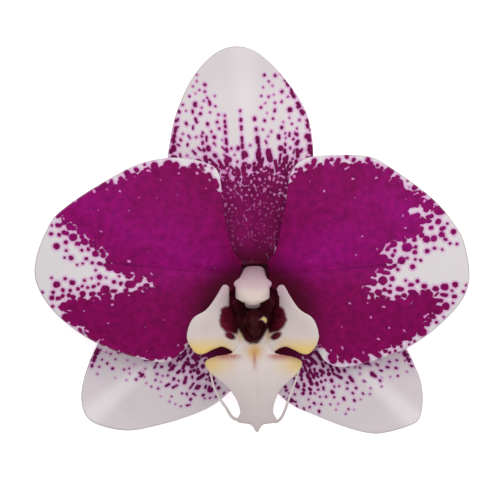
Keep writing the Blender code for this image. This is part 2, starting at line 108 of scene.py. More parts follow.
def smooth_curve(points, count):
    """Points spaced evenly along a smooth curve through the given ones."""
    known = [Vector(p) for p in points]
    run = [2 * known[0] - known[1], *known, 2 * known[-1] - known[-2]]
    fours = zip(run, run[1:], run[2:], run[3:])
    fine = [between(*four, step / FINE) for four in fours for step in range(FINE)] + [known[-1]]
    travelled = np.cumsum([0.0] + [(q - p).length for p, q in zip(fine, fine[1:])])
    stops = np.linspace(0, travelled[-1], count)
    return [Vector(p) for p in zip(*[np.interp(stops, travelled, axis) for axis in zip(*fine)])]


def bent(start, bend, end, share):
    """A point on the way from the start to the end that is drawn towards the bend."""
    return start * (1 - share) ** 2 + bend * 2 * share * (1 - share) + end * share**2


def ring_loft(bm, rings):
    """Bridges rings of points, in order, and closes both ends."""
    loops = []
    for ring in rings:
        verts = [bm.verts.new(p) for p in ring]
        loops.append([bm.edges.new((verts[i - 1], verts[i])) for i in range(len(verts))])
    for first, second in zip(loops, loops[1:]):
        bmesh.ops.bridge_loops(bm, edges=first + second)
    bmesh.ops.holes_fill(bm, edges=loops[0] + loops[-1], sides=0)


def finished(name, bm, node, material):
    """A piece from a bmesh in millimetres from the heart, which stands for a CAD node and rides with it."""
    bmesh.ops.recalc_face_normals(bm, faces=bm.faces[:])
    for vert in bm.verts:
        vert.co = (vert.co + HEART) * MM
    mesh = bpy.data.meshes.new(name)
    bm.to_mesh(mesh)
    bm.free()
    mesh.shade_smooth()
    mesh.materials.append(material)
    piece = bpy.data.objects.new(name, mesh)
    bpy.context.scene.collection.objects.link(piece)
    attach(piece, "root")
    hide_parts(node)


def linear(colour):
    """An sRGB hex colour as linear red, green, blue and alpha."""
    parts = [int(colour[i:i + 2], 16) / 255 for i in (1, 3, 5)]
    return (*[p / 12.92 if p <= 0.04045 else ((p + 0.055) / 1.055) ** 2.4 for p in parts], 1.0)


def add(tree, kind, inputs=(), **settings):
    """Adds a node with its settings and gives its live outputs.

    The inputs are a list for the live ones in order, or a dict by name. Each is a socket to link, a value or
    a hex colour.
    """
    made = tree.nodes.new("ShaderNode" + kind)
    for name, value in settings.items():
        setattr(made, name, value)
    named = isinstance(inputs, dict)
    sockets = [made.inputs[name] for name in inputs] if named else [s for s in made.inputs if s.enabled]
    for socket, value in zip(sockets, inputs.values() if named else inputs):
        if isinstance(value, bpy.types.NodeSocket):
            tree.links.new(value, socket)
        else:
            socket.default_value = linear(value) if isinstance(value, str) else value
    return [s for s in made.outputs if s.enabled]


def sized(width):
    """A pattern's scale, from the real width of its features in millimetres."""
    return 1 / (width * MM)


def layered(tree, coat, *layers):
    """Lays colours over a coat, each given as its share and the colour."""
    for share, colour in layers:
        coat = add(tree, "Mix", [share, coat, colour], data_type="RGBA")[0]
    return coat


def tissue(name, roughness, gloss, glow=0.05):
    """A plant tissue's material: moist cells under a thin skin, so light goes a little way in.

    It comes with its tree and its own coordinates, ready for its coat.
    """
    material = bpy.data.materials.new(name)
    material.use_nodes = True
    shader = material.node_tree.nodes["Principled BSDF"]
    look = {
        "Roughness": roughness, "IOR": 1.42, "Specular IOR Level": gloss, "Subsurface Weight": glow,
        "Subsurface Radius": (1.0, 0.45, 0.4), "Subsurface Scale": 0.6 * MM,
    }
    for socket, value in look.items():
        shader.inputs[socket].default_value = value
    return material, material.node_tree, add(material.node_tree, "TexCoord")[3]


def coated(material, coat, relief, strength, depth):
    """Puts the coat and a fine relief of some depth on a tissue."""
    tree = material.node_tree
    shader = tree.nodes["Principled BSDF"]
    bump = add(tree, "Bump", {"Height": relief, "Strength": strength, "Distance": depth * MM})[0]
    tree.links.new(coat, shader.inputs["Base Color"])
    tree.links.new(bump, shader.inputs["Normal"])
    return material


def stalk_skin():
    """Waxy green skin of a flower stalk, flushed lilac in streaks, with a maroon cup inside the bloom."""
    material, tree, place = tissue("stalk_skin_waxy_green", 0.45, 0.4, 0.1)
    wide, long = sized(1.11), sized(8.33)
    streak = add(tree, "Mapping", {"Vector": place, "Scale": (wide, long, wide)})[0]
    flush = add(tree, "TexNoise", [streak, 1.0, 3.0])[0]
    flushed = add(tree, "MapRange", [flush, 0.35, 0.7])[0]
    height = add(tree, "SeparateXYZ", [place])[2]
    rim = LIFT + CUP_TOP
    inside = add(tree, "MapRange", [height, (rim - CUP_MAROON) * MM, (rim - CUP_MAROON / 3) * MM])[0]
    coat = layered(tree, "#8FA25E", (flushed, "#9C8470"), (inside, "#40081C"))
    pores = add(tree, "TexNoise", [place, sized(0.333), 2.0])[0]  # as coarse as they need to show
    return coated(material, coat, pores, 0.25, 0.1)


def make_stalk():
    route = smooth_curve(STALK_ROUTE, STALK_RINGS + 1)
    rings, travelled = [], 0.0
    for i, point in enumerate(route):
        before = route[max(i - 1, 0)]
        ahead = (route[min(i + 1, STALK_RINGS)] - before).normalized() if i else Vector((0, 0, -1))
        travelled += (point - before).length
        ribbed = max(0.0, 1 - travelled / OVARY_LENGTH)
        radius = mix(STALK_RADIUS, OVARY_RADIUS, math.sqrt(ribbed))
        radius += (CUP_RADIUS - OVARY_RADIUS) * hump(travelled, 0.0, CUP_FLARE)
        ring = []
        for turn in turns(STALK_SIDES):
            size = radius + RIB_HIGH * math.cos(RIBS * turn) * ribbed
            spot = point + RIGHT * size * math.cos(turn) + RIGHT.cross(ahead) * size * math.sin(turn)
            spot.z = max(spot.z, -LIFT)
            ring.append(spot)
        rings.append(ring)
    bm = bmesh.new()
    ring_loft(bm, rings)
    finished("stalk_and_ovary", bm, "pedicel_and_ovary", stalk_skin())


make_stalk()

# Sepals
# Three sepals stand behind the petals: one upright, two spread below. They are thick, waxy blades, white
# flushed with grey lilac, with maroon spots that crowd together towards the claw. Each is fixed by its claw
# over the cup.
MARGIN_THICK = 0.8
EDGE_THICK = 0.14  # the rounded margin's own edge
THIN_BY = 20.0  # how far from the claw a blade has its margin's thickness
VEIN_SPREAD = 0.6  # how much a vein leans from the claw's aim towards its own end as it starts
TEPAL_FLAT = -LIFT + MARGIN_THICK / 2
SETTLE = 0.5  # how softly a blade comes to rest on the surface
ROLL = 2.4  # over 2 rolls a blade more at its very sides
GROOVE_WIDE = 0.06  # of the blade's width
COLUMNS = 300
ROWS = 110
ROW_CROWD = 1.3  # over 1 crowds the rows towards the margin
VEINS = 24
MARK_TRIES = 7000
RIM_SKIP = 10  # every so many points of the rim bound the spots
MAIN_VEINS = math.radians(7)  # between two veins that carry chains of spots, seen from the claw
RIM_BAND = 1.1  # width of the band along the rim that draws spots
EDGE_FADE = 0.8  # how far cells of pigment reach out of the solid area
FLECK_EDGE = 0.2  # how far in from the solid area's edge flecks begin
WEDGE_CRACKS = 1.0  # how much wider the crazed edge of the solid area is beside a bare wedge
WEDGE_REACH = 3.0  # and how far from the wedge that is felt
CHAIN_SEED = 3
MERGE = 0.15  # how far two neighbouring marks may run into each other
FAR_OUT = -2.0  # depth in a mark, where there is none
# Painted sheen: the brightest band of the pigment's colour lies this many veins from the keel.
SHEEN_VEIN = 3.0  # veins from the keel to the brightest band of colour
SEPAL_DORSAL = {
    "claw": (0.0, 3.15),  # the middle of its claw, where its veins start
    "aim": (-0.05, 1.0),  # the way they set out
    "claw_half": 3.0,
    "outline": [
        (-15.6, 15.6), (-18.0, 22.0), (-17.6, 28.6), (-16.1, 35.3), (-12.9, 42.2), (-8.4, 47.1),
        (-3.8, 48.7), (0.9, 47.2), (6.1, 42.2), (10.6, 35.3), (12.1, 28.3), (11.9, 21.0), (10.8, 13.8),
    ],
    "arch": [SEPAL_SEAT, -2.4, -2.1, -2.2, -2.9, -4.5, -7.3, -10.8, -10.8],  # heights from claw to tip
    "bow": 2.0,  # how far its sides roll back
    "groove": 0.5,  # depth along the keel, a ridge where negative
    "keel": 0.5,  # where the keel runs, from one side to the other
    "solid": [  # the area of unbroken colour
        (-10.5, 22.5), (-6.5, 23.5), (-2.5, 22.5), (1.5, 24.0), (6.5, 23.3), (9.8, 22.0), (13.0, 12.0),
        (10.0, 2.0), (-10.0, 2.0), (-13.0, 12.0),
    ],
    "spotted": [  # the area that holds the spots
        (-18.5, 20.0), (-18.2, 29.5), (-16.0, 35.5), (-14.2, 39.0), (-12.0, 43.0), (-9.0, 42.0),
        (-8.0, 37.5), (-6.8, 33.0), (-5.6, 28.5), (-2.0, 27.5), (0.8, 28.5), (1.6, 33.0), (1.0, 39.0),
        (0.8, 43.5), (6.0, 44.0), (8.0, 40.3), (10.4, 36.2), (12.6, 29.0), (12.5, 20.0), (8.0, 3.0),
        (-8.0, 3.0),
    ],
    "crowd": (0.5, 0.85, 5.0),  # pigment at the solid area's edge, deep inside it, and the way between
    "rim_crowd": 0.3,  # of spots along the rim
    # Pairs run from the outermost mark to the innermost. Clear is the room between two marks, run the longest
    # mark's length, on_vein the share that sits on main veins, and wander the degrees that a mark may turn.
    "spots": {
        "seed": 11, "radius": (0.28, 0.46), "vary": (0.6, 1.7), "clear": (1.55, -0.35), "run": 2.6,
        "on_vein": 0.1, "wander": 30,
    },
    "flecks": {  # start is the nearest to the claw that they come, and deep how far in they thin out
        "seed": 12, "radius": (0.12, 0.22), "vary": (0.7, 1.6), "clear": (0.5, 0.3), "run": 0.8,
        "on_vein": 0.0, "wander": 90, "start": 5.0, "deep": 13.0,
    },
    "chains": [  # (outer end, inner end, widest radius)
        ((-6.2, 34.2), (-5.4, 20.0), 0.5), ((-3.0, 35.2), (-2.0, 20.0), 0.5),
        ((0.0, 33.6), (1.9, 20.0), 0.62), ((-9.9, 38.0), (-8.9, 36.0), 0.4),
        ((6.4, 41.6), (10.4, 34.0), 0.6), ((10.9, 33.2), (11.9, 24.5), 0.7),
        ((-15.6, 35.0), (-16.9, 29.0), 0.5), ((-16.9, 29.0), (-16.6, 22.5), 0.95),
        ((-11.0, 30.0), (-9.5, 21.0), 0.55), ((6.5, 29.5), (5.8, 21.0), 0.5),
        ((8.8, 31.5), (8.9, 25.5), 0.45),
    ],
}
SEPAL_LATERAL = {  # what both lower sepals share
    "claw_half": 1.7,
    "arch": [SEPAL_SEAT, -2.7, -2.7, -3.2, -4.2, -5.9, -8.3, -10.8, -10.8],
    "bow": 1.6,
    "groove": -0.8,
    "keel": 0.47,
    "crowd": (0.6, 1.0, 2.0),
    "rim_crowd": 0.3,
}
LATERAL_SPOTS = {
    "radius": (0.2, 0.5), "vary": (0.75, 1.3), "clear": (1.7, -1.1), "run": 3.6, "on_vein": 0.1,
    "wander": 30,
}
SEPAL_LEFT = SEPAL_LATERAL | {
    "claw": (-2.1, -2.3),
    "aim": (-0.85, -0.6),
    "outline": [
        (-18.0, -3.6), (-24.5, -6.2), (-30.3, -9.6), (-33.2, -14.4), (-35.4, -20.0), (-36.1, -25.0),
        (-34.7, -28.9), (-31.0, -30.7), (-26.0, -31.4), (-20.5, -30.4), (-14.0, -28.5), (-8.7, -26.1),
        (-4.6, -22.6), (-1.7, -17.6),
    ],
    "solid": [(-13.0, -12.5), (-10.8, -15.2), (-7.5, -17.0), (-4.0, -17.5), (-1.0, 0.0), (-12.0, 0.0)],
    "spotted": [
        (-35.5, -11.5), (-35.0, -17.0), (-34.0, -19.5), (-29.0, -20.5), (-23.5, -21.6), (-20.0, -24.3),
        (-15.0, -26.6), (-10.5, -25.6), (-4.0, -22.5), (-1.0, 0.0), (-14.0, 0.0),
    ],
    "spots": LATERAL_SPOTS | {"seed": 23},
    "chains": [
        ((-33.9, -18.0), (-32.7, -14.6), 0.6), ((-24.6, -20.7), (-23.2, -19.7), 0.45),
        ((-18.0, -19.9), (-16.8, -17.8), 0.5), ((-12.7, -23.7), (-11.2, -21.8), 0.5),
        ((-10.7, -24.0), (-9.2, -22.8), 0.6), ((-9.4, -22.3), (-8.5, -20.5), 0.5),
        ((-7.5, -22.5), (-6.5, -21.5), 0.6), ((-13.6, -26.0), (-12.5, -25.5), 0.4),
    ],
}
SEPAL_RIGHT = SEPAL_LATERAL | {
    "claw": (2.1, -2.3),
    "aim": (0.85, -0.6),
    "outline": [
        (18.0, -4.2), (24.2, -6.8), (29.3, -10.4), (32.2, -15.4), (34.5, -20.5), (35.1, -24.6),
        (34.6, -28.4), (33.0, -30.1), (27.5, -31.8), (23.6, -31.9), (18.2, -30.4), (12.0, -27.9),
        (8.0, -26.1), (4.6, -23.2), (1.7, -17.6),
    ],
    "solid": [(13.4, -12.5), (11.4, -16.0), (8.0, -17.4), (4.0, -17.5), (1.0, 0.0), (12.0, 0.0)],
    "spotted": [
        (34.0, -13.0), (33.0, -19.0), (28.5, -21.0), (24.0, -24.5), (19.5, -28.0), (14.0, -27.5),
        (10.0, -27.0), (7.5, -26.0), (4.0, -23.0), (1.0, 0.0), (14.0, 0.0),
    ],
    "spots": LATERAL_SPOTS | {"seed": 37},
    "chains": [
        ((32.8, -18.0), (31.1, -15.0), 0.5), ((26.2, -21.0), (24.0, -19.0), 0.5),
        ((25.3, -17.4), (22.8, -17.4), 0.35), ((5.0, -23.2), (5.9, -21.2), 0.5),
        ((6.6, -23.0), (7.3, -21.4), 0.55), ((10.3, -22.9), (8.4, -21.8), 0.55),
        ((8.6, -25.4), (7.1, -24.9), 0.55), ((12.6, -23.6), (11.4, -22.6), 0.45),
    ],
}


def smooth_value(values, share):
    """The value at a share, from 0 to 1, of a smooth run through evenly spaced ones."""
    place = min(max(share, 0.0), 1.0) * (len(values) - 1)
    i = min(int(place), len(values) - 2)
    run = [2 * values[0] - values[1], *values, 2 * values[-1] - values[-2]]
    return between(*run[i:i + 4], place - i)


def depth_inside(points, outline):
    """How far each point lies inside a closed outline, in millimetres; negative outside it."""
    start = np.array(outline, dtype=float)
    end = np.roll(start, -1, axis=0)
    edges = np.column_stack([start, end, np.zeros(len(start))])
    nearest = gaps_to(points, edges).min(1)
    above = (start[:, 1] > points[:, 1:2]) != (end[:, 1] > points[:, 1:2])
    rise = end[:, 1] - start[:, 1]
    slant = (end[:, 0] - start[:, 0]) / np.where(rise == 0, 1e-9, rise)
    crossing = start[:, 0] + (points[:, 1:2] - start[:, 1]) * slant
    inside = (above & (points[:, 0:1] < crossing)).sum(1) % 2 == 1
    return np.where(inside, nearest, -nearest)


def gaps_to(points, marks):
    """From each point to the rim of each mark, in millimetres; negative inside it."""
    start, run = marks[:, :2], marks[:, 2:4] - marks[:, :2]
    to_point = points[:, None] - start
    share = np.clip((to_point * run).sum(2) / np.maximum((run**2).sum(1), 1e-9), 0, 1)
    return np.linalg.norm(to_point - share[..., None] * run, axis=2) - marks[:, 4]


def scatter(rule, claw, corners, nearness):
    """Marks placed by a seeded rule, each a rounded stroke along its vein: (x0, y0, x1, y1, radius).

    The nearness of a place runs from 0 at the outermost marks to 1 at the innermost, and gives size and
    spacing. A share of them sits on the main veins, in chains.
    """
    draw = random.Random(rule["seed"])
    (left, low), (right, high) = corners
    tries = np.array([(draw.uniform(left, right), draw.uniform(low, high)) for _ in range(MARK_TRIES)])
    out = tries - claw
    angle, far = np.arctan2(out[:, 1], out[:, 0]), np.linalg.norm(out, axis=1)
    on_vein = np.array([draw.random() < rule["on_vein"] for _ in tries])
    angle = np.where(on_vein, np.round(angle / MAIN_VEINS) * MAIN_VEINS, angle)
    tries = claw + np.column_stack([np.cos(angle), np.sin(angle)]) * far[:, None]
    marks = np.empty((0, 5))
    for place, share, heading, linked in zip(tries, nearness(tries), angle, on_vein):
        radius = mix(*rule["radius"], share) * mix(*rule["vary"], draw.random() ** 2)
        clear = max(mix(*rule["clear"], share) * draw.uniform(0.4, 1.6), -MERGE)
        half_run = rule["run"] / 2 * share * (1.0 if linked else draw.random() ** 2)
        heading += math.radians(rule["wander"]) * draw.uniform(-1, 1)
        vein = np.array((math.cos(heading), math.sin(heading))) * half_run
        stroke = np.array([place - vein, place, place + vein])
        if share > 0 and not (gaps_to(stroke, marks) < radius + clear).any():
            marks = np.vstack([marks, (*stroke[0], *stroke[2], radius)])
    return marks


def chained(chains):
    """Strokes along the veins, longer, broader and closer together towards the inner end of each chain."""
    draw = random.Random(CHAIN_SEED)
    marks = []
    for outer, inner, widest in chains:
        outer, inner = np.array(outer), np.array(inner)
        whole = np.linalg.norm(inner - outer)
        travelled = 0.0
        while travelled < whole:
            share = travelled / whole
            run = mix(0.2, 1.8, share) * draw.uniform(0.3, 1.4)
            radius = widest * mix(0.55, 1.0, share) * draw.uniform(0.75, 1.1)
            last = min(travelled + run, whole) / whole
            marks.append((*mix(outer, inner, share), *mix(outer, inner, last), radius))
            travelled += run + 2 * radius + mix(0.8, 0.0, share) * draw.uniform(0.2, 1.5)
    return np.array(marks).reshape(-1, 5)


def depth_in_marks(points, marks):
    """How far each point lies inside the nearest mark, in millimetres; negative outside them all."""
    deepest = np.full(len(points), FAR_OUT)
    for mark in marks:
        radius = mark[4]
        away = gaps_to(points, mark[None])[:, 0] + radius
        deepest = np.maximum(deepest, (radius**2 - away**2) / (2 * radius))
    return deepest


def pigment_of(form, rim, points):
    """Each point's density of pigment, its depth in a scattered spot and its depth in a bare fleck."""
    claw = np.array(form["claw"])
    corners = np.minimum(rim.min(0), claw), np.maximum(rim.max(0), claw)
    border = [*rim[::RIM_SKIP], form["claw"]]

    def spotted_depth(places):
        if "spotted" in form:
            return depth_inside(places, form["spotted"])
        inside = depth_inside(places, border) - form["bare_margin"]
        return np.minimum(inside, -depth_inside(places, form["bare_wedge"]))

    def spot_nearness(places):
        beyond = np.maximum(-depth_inside(places, form["solid"]), 0.0)
        within = spotted_depth(places)
        share = within / np.maximum(within + beyond, 1e-6)
        rim_share = form["rim_crowd"] * np.exp(-np.maximum(depth_inside(places, border), 0.0) / RIM_BAND)
        return np.where((within > 0) & (beyond > 0), np.maximum(share, rim_share), 0.0)

    def fleck_nearness(places):
        inside = depth_inside(places, form["solid"])
        far_out = np.linalg.norm(places - claw, axis=1) > form["flecks"]["start"]
        return np.where((inside > FLECK_EDGE) & far_out, 1 - inside / form["flecks"]["deep"], 0.0)

    edge, full, ramp = form["crowd"]
    beyond = -depth_inside(points, form["solid"])
    if "bare_wedge" in form:
        from_wedge = np.maximum(-depth_inside(points, form["bare_wedge"]), 0.0)
        ramp = ramp * (1 + WEDGE_CRACKS * np.exp(-from_wedge / WEDGE_REACH))
    faded = edge * np.clip(1 - beyond / EDGE_FADE, 0, 1)
    density = np.where(beyond > 0, faded, mix(edge, full, -beyond / ramp))
    scattered = scatter(form["spots"], claw, corners, spot_nearness)
    spots = np.vstack([scattered, chained(form.get("chains", []))])
    flecks = scatter(form["flecks"], claw, corners, fleck_nearness) if "flecks" in form else []
    return np.clip(density, 0, full), depth_in_marks(points, spots), depth_in_marks(points, flecks)


def grid_places(bm, columns, rows):
    """Starts a sheet as a flat grid, and gives each of its points with its column and row."""
    bmesh.ops.create_grid(bm, x_segments=columns, y_segments=rows, size=1.0)
    return [(v, round((v.co.x + 1) / 2 * columns), round((v.co.y + 1) / 2 * rows)) for v in bm.verts]


def doubled(bm, shift):
    """Closes a sheet: shift(vert) moves its face one way and the copy at its back the other way."""
    bmesh.ops.triangulate(bm, faces=bm.faces[:])
    bm.normal_update()
    shifts = [(vert, shift(vert)) for vert in bm.verts]
    twins = bmesh.ops.duplicate(bm, geom=bm.verts[:] + bm.edges[:] + bm.faces[:])["vert_map"]
    for vert, away in shifts:
        twins[vert].co = vert.co - away
        vert.co += away
    bmesh.ops.bridge_loops(bm, edges=[edge for edge in bm.edges if edge.is_boundary])
    return [twins[vert] for vert, _ in shifts]


def blade(name, form, node, material):
    """A sepal or petal: veins fan from its claw to its outline. It arches along them, and its sides roll."""
    rim = smooth_curve([(*p, 0.0) for p in form["outline"]], COLUMNS + 1)
    claw = Vector((*form["claw"], 0.0))
    aim = Vector((*form["aim"], 0.0)).normalized()
    side = Vector((-aim.y, aim.x, 0.0))
    if (rim[0] - claw).dot(side) < 0:
        side.negate()
    tip_way = (rim[COLUMNS // 2] - claw).normalized()
    sideways = Vector((-tip_way.y, tip_way.x, 0.0))
    reach_far = max((p - claw).length for p in rim)
    half_span = max(abs((p - claw).dot(sideways)) for p in rim)
    alongs = [1 - (1 - row / ROWS) ** ROW_CROWD for row in range(ROWS + 1)]

    def flat_place(column, row):
        along = alongs[row]
        start = claw - side * (2 * column / COLUMNS - 1) * form["claw_half"]
        end = rim[column]
        reach = end - start
        ahead = aim * (1 - VEIN_SPREAD) + reach.normalized() * VEIN_SPREAD
        bend = start + ahead.normalized() * reach.length / 2
        return bent(start, bend, end, along), reach.length

    bm = bmesh.new()
    vein_place = bm.verts.layers.float_vector.new("vein_place")
    pigment = bm.verts.layers.float_vector.new("pigment")
    back = bm.verts.layers.float.new("back")
    widths = [(flat_place(0, row)[0] - flat_place(COLUMNS, row)[0]).length for row in range(ROWS + 1)]
    for vert, column, row in grid_places(bm, COLUMNS, ROWS):
        across, along = column / COLUMNS, alongs[row]
        flat, length = flat_place(column, row)
        out = flat - claw
        height = smooth_value(form["arch"], out.length / reach_far)
        height -= form["bow"] * (abs(out.dot(sideways)) / half_span) ** ROLL
        height -= form["groove"] * hump(across, form["keel"], GROOVE_WIDE) * math.sin(math.pi * along)
        height = TEPAL_FLAT + SETTLE * math.log1p(math.exp((height - TEPAL_FLAT) / SETTLE))
        vert.co = (flat.x, flat.y, height)
        edge = min((1 - along) * length, min(across, 1 - across) * widths[row])
        vert[vein_place] = ((across - form["keel"]) * VEINS, along * length, edge)
    points = np.array([vert.co[:2] for vert in bm.verts])
    for vert, *values in zip(bm.verts, *pigment_of(form, np.array([p[:2] for p in rim]), points)):
        vert[pigment] = values

    def half_thick(vert):
        full = mix(TEPAL_THICK, MARGIN_THICK, min((vert.co.xy - claw.xy).length / THIN_BY, 1.0))
        near = min(vert[vein_place].z / full, 1.0)
        return Vector((0, 0, mix(EDGE_THICK, full, math.sqrt(near * (2 - near))) / 2))

    for twin in doubled(bm, half_thick):
        twin[back] = 1.0
    finished(name, bm, node, material)


CELL_SWAY = 1.1  # how far the rows of cells are bent out of line
CELL_LOSS = 0.45  # how much smaller the unluckiest cells of pigment stay
CELL_LEAST = 0.1  # a smaller cell stays empty
CELL_NONE = 9.0  # taken off an empty cell's size, so that nothing of it shows
# The maroon beside the lip is partly the tissue's own darker red and partly painted shade of the throat.
THROAT_PLACE = HEART + Vector((0, -9.0, -1.0))
MAROON_FADE = 7.0  # length over which the maroon beside the lip fades out
SOFT = {"interpolation_type": "SMOOTHSTEP"}


def spotted_skin(name, ground, halo, spot, spot_far, cell, stretch, keel_highlight, maroon_and_shade_reach):
    """Pigment in the outer cells: spots on a pale ground, with a soft halo round each.

    Cells of pigment crowd as the piece's own density says, and where all hold it the colour is solid.
    Scattered spots come on top. Bare flecks in the solid colour show pink, and stay stained near the claw.
    Beside the lip all of it turns maroon: partly its own darker red, partly painted shade of the throat.
    """
    material, tree, place = tissue(name, 0.6, 0.08)
    density, drawn, bare = add(tree, "SeparateXYZ", [add(tree, "Attribute", attribute_name="pigment")[1]])
    vein = add(tree, "Attribute", attribute_name="vein_place")[1]
    across, along, edge = add(tree, "SeparateXYZ", [vein])
    aside = add(tree, "Math", [across], operation="ABSOLUTE")[0]
    outer = add(tree, "MapRange", [along, 20.0, 34.0])[0]

    # How deep each place lies in the nearest cell of pigment, in millimetres
    sway = add(tree, "TexNoise", [place, sized(1.25), 2.0])[1]
    sway = add(tree, "VectorMath", [sway, (0.5, 0.5, 0.5)], operation="SUBTRACT")[0]
    moved = add(tree, "VectorMath", [sway, (CELL_SWAY * MM,) * 3, place], operation="MULTIPLY_ADD")[0]
    grid = add(tree, "Mapping", {"Vector": moved, "Scale": (sized(cell), sized(cell * stretch), 1.0)})[0]
    cells = {"Vector": grid, "Scale": 1.0, "Randomness": 0.85}
    distance, chance, _ = add(tree, "TexVoronoi", cells, voronoi_dimensions="2D")
    chance = add(tree, "SeparateColor", [chance])[0]
    grown = add(tree, "Math", [density, 0.8], operation="POWER")[0]
    lack = add(tree, "Math", [density, CELL_LOSS, -CELL_LOSS], operation="MULTIPLY_ADD")[0]
    radius = add(tree, "Math", [chance, lack, grown], operation="MULTIPLY_ADD")[0]
    there = add(tree, "Math", [radius, CELL_LEAST], operation="GREATER_THAN")[0]
    taken = add(tree, "Math", [there, CELL_NONE, -CELL_NONE], operation="MULTIPLY_ADD")[0]
    radius = add(tree, "Math", [radius, taken], operation="ADD")[0]
    depth = add(tree, "Math", [radius, distance], operation="SUBTRACT")[0]
    depth = add(tree, "Math", [depth, cell], operation="MULTIPLY")[0]

    # With the scattered spots, and without the bare flecks
    ragged = add(tree, "TexNoise", [place, sized(0.769), 2.0])[0]
    inside = add(tree, "Math", [ragged, 0.4, -0.18], operation="MULTIPLY_ADD")[0]
    inside = add(tree, "Math", [drawn, inside], operation="ADD")[0]
    inside = add(tree, "Math", [inside, depth], operation="MAXIMUM")[0]
    left_out = add(tree, "Math", [ragged, 0.6, -0.3], operation="MULTIPLY_ADD")[0]
    left_out = add(tree, "Math", [left_out, bare], operation="SUBTRACT")[0]
    stain = add(tree, "MapRange", [along, 9.0, 22.0, 0.05, -0.06])[0]
    left_out = add(tree, "Math", [left_out, stain], operation="MAXIMUM")[0]
    inside = add(tree, "Math", [inside, left_out], operation="MINIMUM")[0]
    filled = add(tree, "MapRange", [inside, -0.1, 0.1], **SOFT)[0]
    near = add(tree, "MapRange", [inside, -0.9, -0.05], **SOFT)[0]
    in_fleck = add(tree, "MapRange", [bare, -0.2, 0.05])[0]

    # The pigment's colour: brighter and purpler in a band beside the keel as a painted sheen, mottled, and
    # dark in the keel's crease
    sheen_band = add(tree, "Math", [across, SHEEN_VEIN], operation="ADD")[0]
    sheen_band = add(tree, "Math", [sheen_band], operation="ABSOLUTE")[0]
    cloud = add(tree, "TexNoise", [place, sized(5.88), 4.0])[0]
    cloud = add(tree, "Math", [cloud, 11.0, sheen_band], operation="MULTIPLY_ADD")[0]
    cloud = add(tree, "Math", [along, 0.1, cloud], operation="MULTIPLY_ADD")[0]
    far = add(tree, "MapRange", [cloud, 5.5, 14.0])[0]
    mottle = add(tree, "TexNoise", [moved, sized(1.333), 4.0])[0]
    mottle = add(tree, "MapRange", [mottle, 0.3, 0.7, 0.78, 1.22])[0]
    crease = add(tree, "MapRange", [aside, 0.03, 0.2, 0.7, 1.0])[0]
    mottle = add(tree, "Math", [mottle, crease], operation="MULTIPLY")[0]
    tone = add(tree, "VectorMath", [layered(tree, spot, (far, spot_far)), mottle], operation="SCALE")[0]

    # Where the keel is paler as a painted highlight, the margin darker as a thin painted shade, the back
    # paler, and how near the lip is
    # Painted highlight: a pale band along the keel, where light catches its ridge.
    keel = add(tree, "MapRange", [aside, 0.1, 1.4, keel_highlight, 0.0], **SOFT)[0]
    keel = add(tree, "Math", [keel, outer], operation="MULTIPLY")[0]
    # Painted shade: a thin grey line along the margin, where the blade curves away from the light.
    rim_shade = add(tree, "MapRange", [edge, 0.1, 0.35, 0.5, 0.0])[0]
    rim_shade = add(tree, "Math", [rim_shade, outer], operation="MULTIPLY")[0]
    hind = add(tree, "Attribute", attribute_name="back")[2]
    hind = add(tree, "Math", [hind, 0.5], operation="MULTIPLY")[0]
    # Painted shade with the tissue's own redder pigment: dark maroon that fades out with the distance from
    # the throat.
    from_throat = add(tree, "VectorMath", [place, tuple(THROAT_PLACE * MM)], operation="DISTANCE")[0]
    reach = (maroon_and_shade_reach - MAROON_FADE) * MM, maroon_and_shade_reach * MM
    deep = add(tree, "MapRange", [from_throat, *reach, 1.0, 0.0], **SOFT)[0]
    coat = layered(
        tree, ground, (keel, "#F0EAEC"), (near, halo), (in_fleck, "#DE84CA"), (filled, tone),
        (deep, "#48031F"), (rim_shade, "#8C8480"), (hind, halo),
    )

    # Low ridges along the veins, with the cells' relief on them, drawn as coarse as it needs to show
    ridges = add(tree, "Mapping", {"Vector": vein, "Scale": (1.4, 0.2, 0.0)})[0]
    ridges = add(tree, "TexNoise", [ridges, 1.0, 3.0])[0]
    grain = add(tree, "TexNoise", [place, sized(0.4545), 2.0])[0]
    relief = add(tree, "Math", [grain, 0.2, ridges], operation="MULTIPLY_ADD")[0]
    return coated(material, coat, relief, 0.3, 0.3)


dorsal_skin = spotted_skin(
    "dorsal_sepal_skin", ground="#D3CBCD", halo="#CE9AC6", spot="#7A0852", spot_far="#6C0647",
    cell=1.15, stretch=1.4, keel_highlight=0.22, maroon_and_shade_reach=19,
)
lateral_skin = spotted_skin(
    "lateral_sepal_skin", ground="#CFC6CA", halo="#CDA6C8", spot="#740A55", spot_far="#660848",
    cell=1.3, stretch=1.1, keel_highlight=0.45, maroon_and_shade_reach=14.5,
)
blade("dorsal_sepal", SEPAL_DORSAL, "sepal_dorsal", dorsal_skin)
blade("left_sepal", SEPAL_LEFT, "sepal_lateral_left", lateral_skin)
blade("right_sepal", SEPAL_RIGHT, "sepal_lateral_right", lateral_skin)

# Petals
# Two petals, broader than the sepals and in front of them: velvety magenta that breaks into dots before a
# white margin, with a bare white wedge at the tip. Each widens at once from a narrow claw beside the column.
PETAL_SEAT = SEPAL_SEAT + TEPAL_THICK + SEAT_GAP
PETAL = {  # what both share
    "claw_half": 2.7,
    "arch": [PETAL_SEAT, 1.2, 2.7, 3.0, 2.2, 0.2],
    "bow": 3.2,
    "groove": 0.5,
    "keel": 0.555,
    "bare_margin": 0.3,  # width of the rim that no spot sits on
    "crowd": (0.55, 1.0, 0.9),
    "rim_crowd": 0.0,
}
PETAL_SPOTS = {
    "radius": (0.4, 0.76), "vary": (0.65, 1.6), "clear": (0.9, -0.45), "run": 1.5, "on_vein": 0.0,
    "wander": 8,
}
PETAL_FLECKS = {
    "radius": (0.08, 0.18), "vary": (0.7, 1.6), "clear": (10.0, 3.0), "run": 1.2, "on_vein": 0.0,
    "wander": 60, "start": 18.0, "deep": 8.0,
}
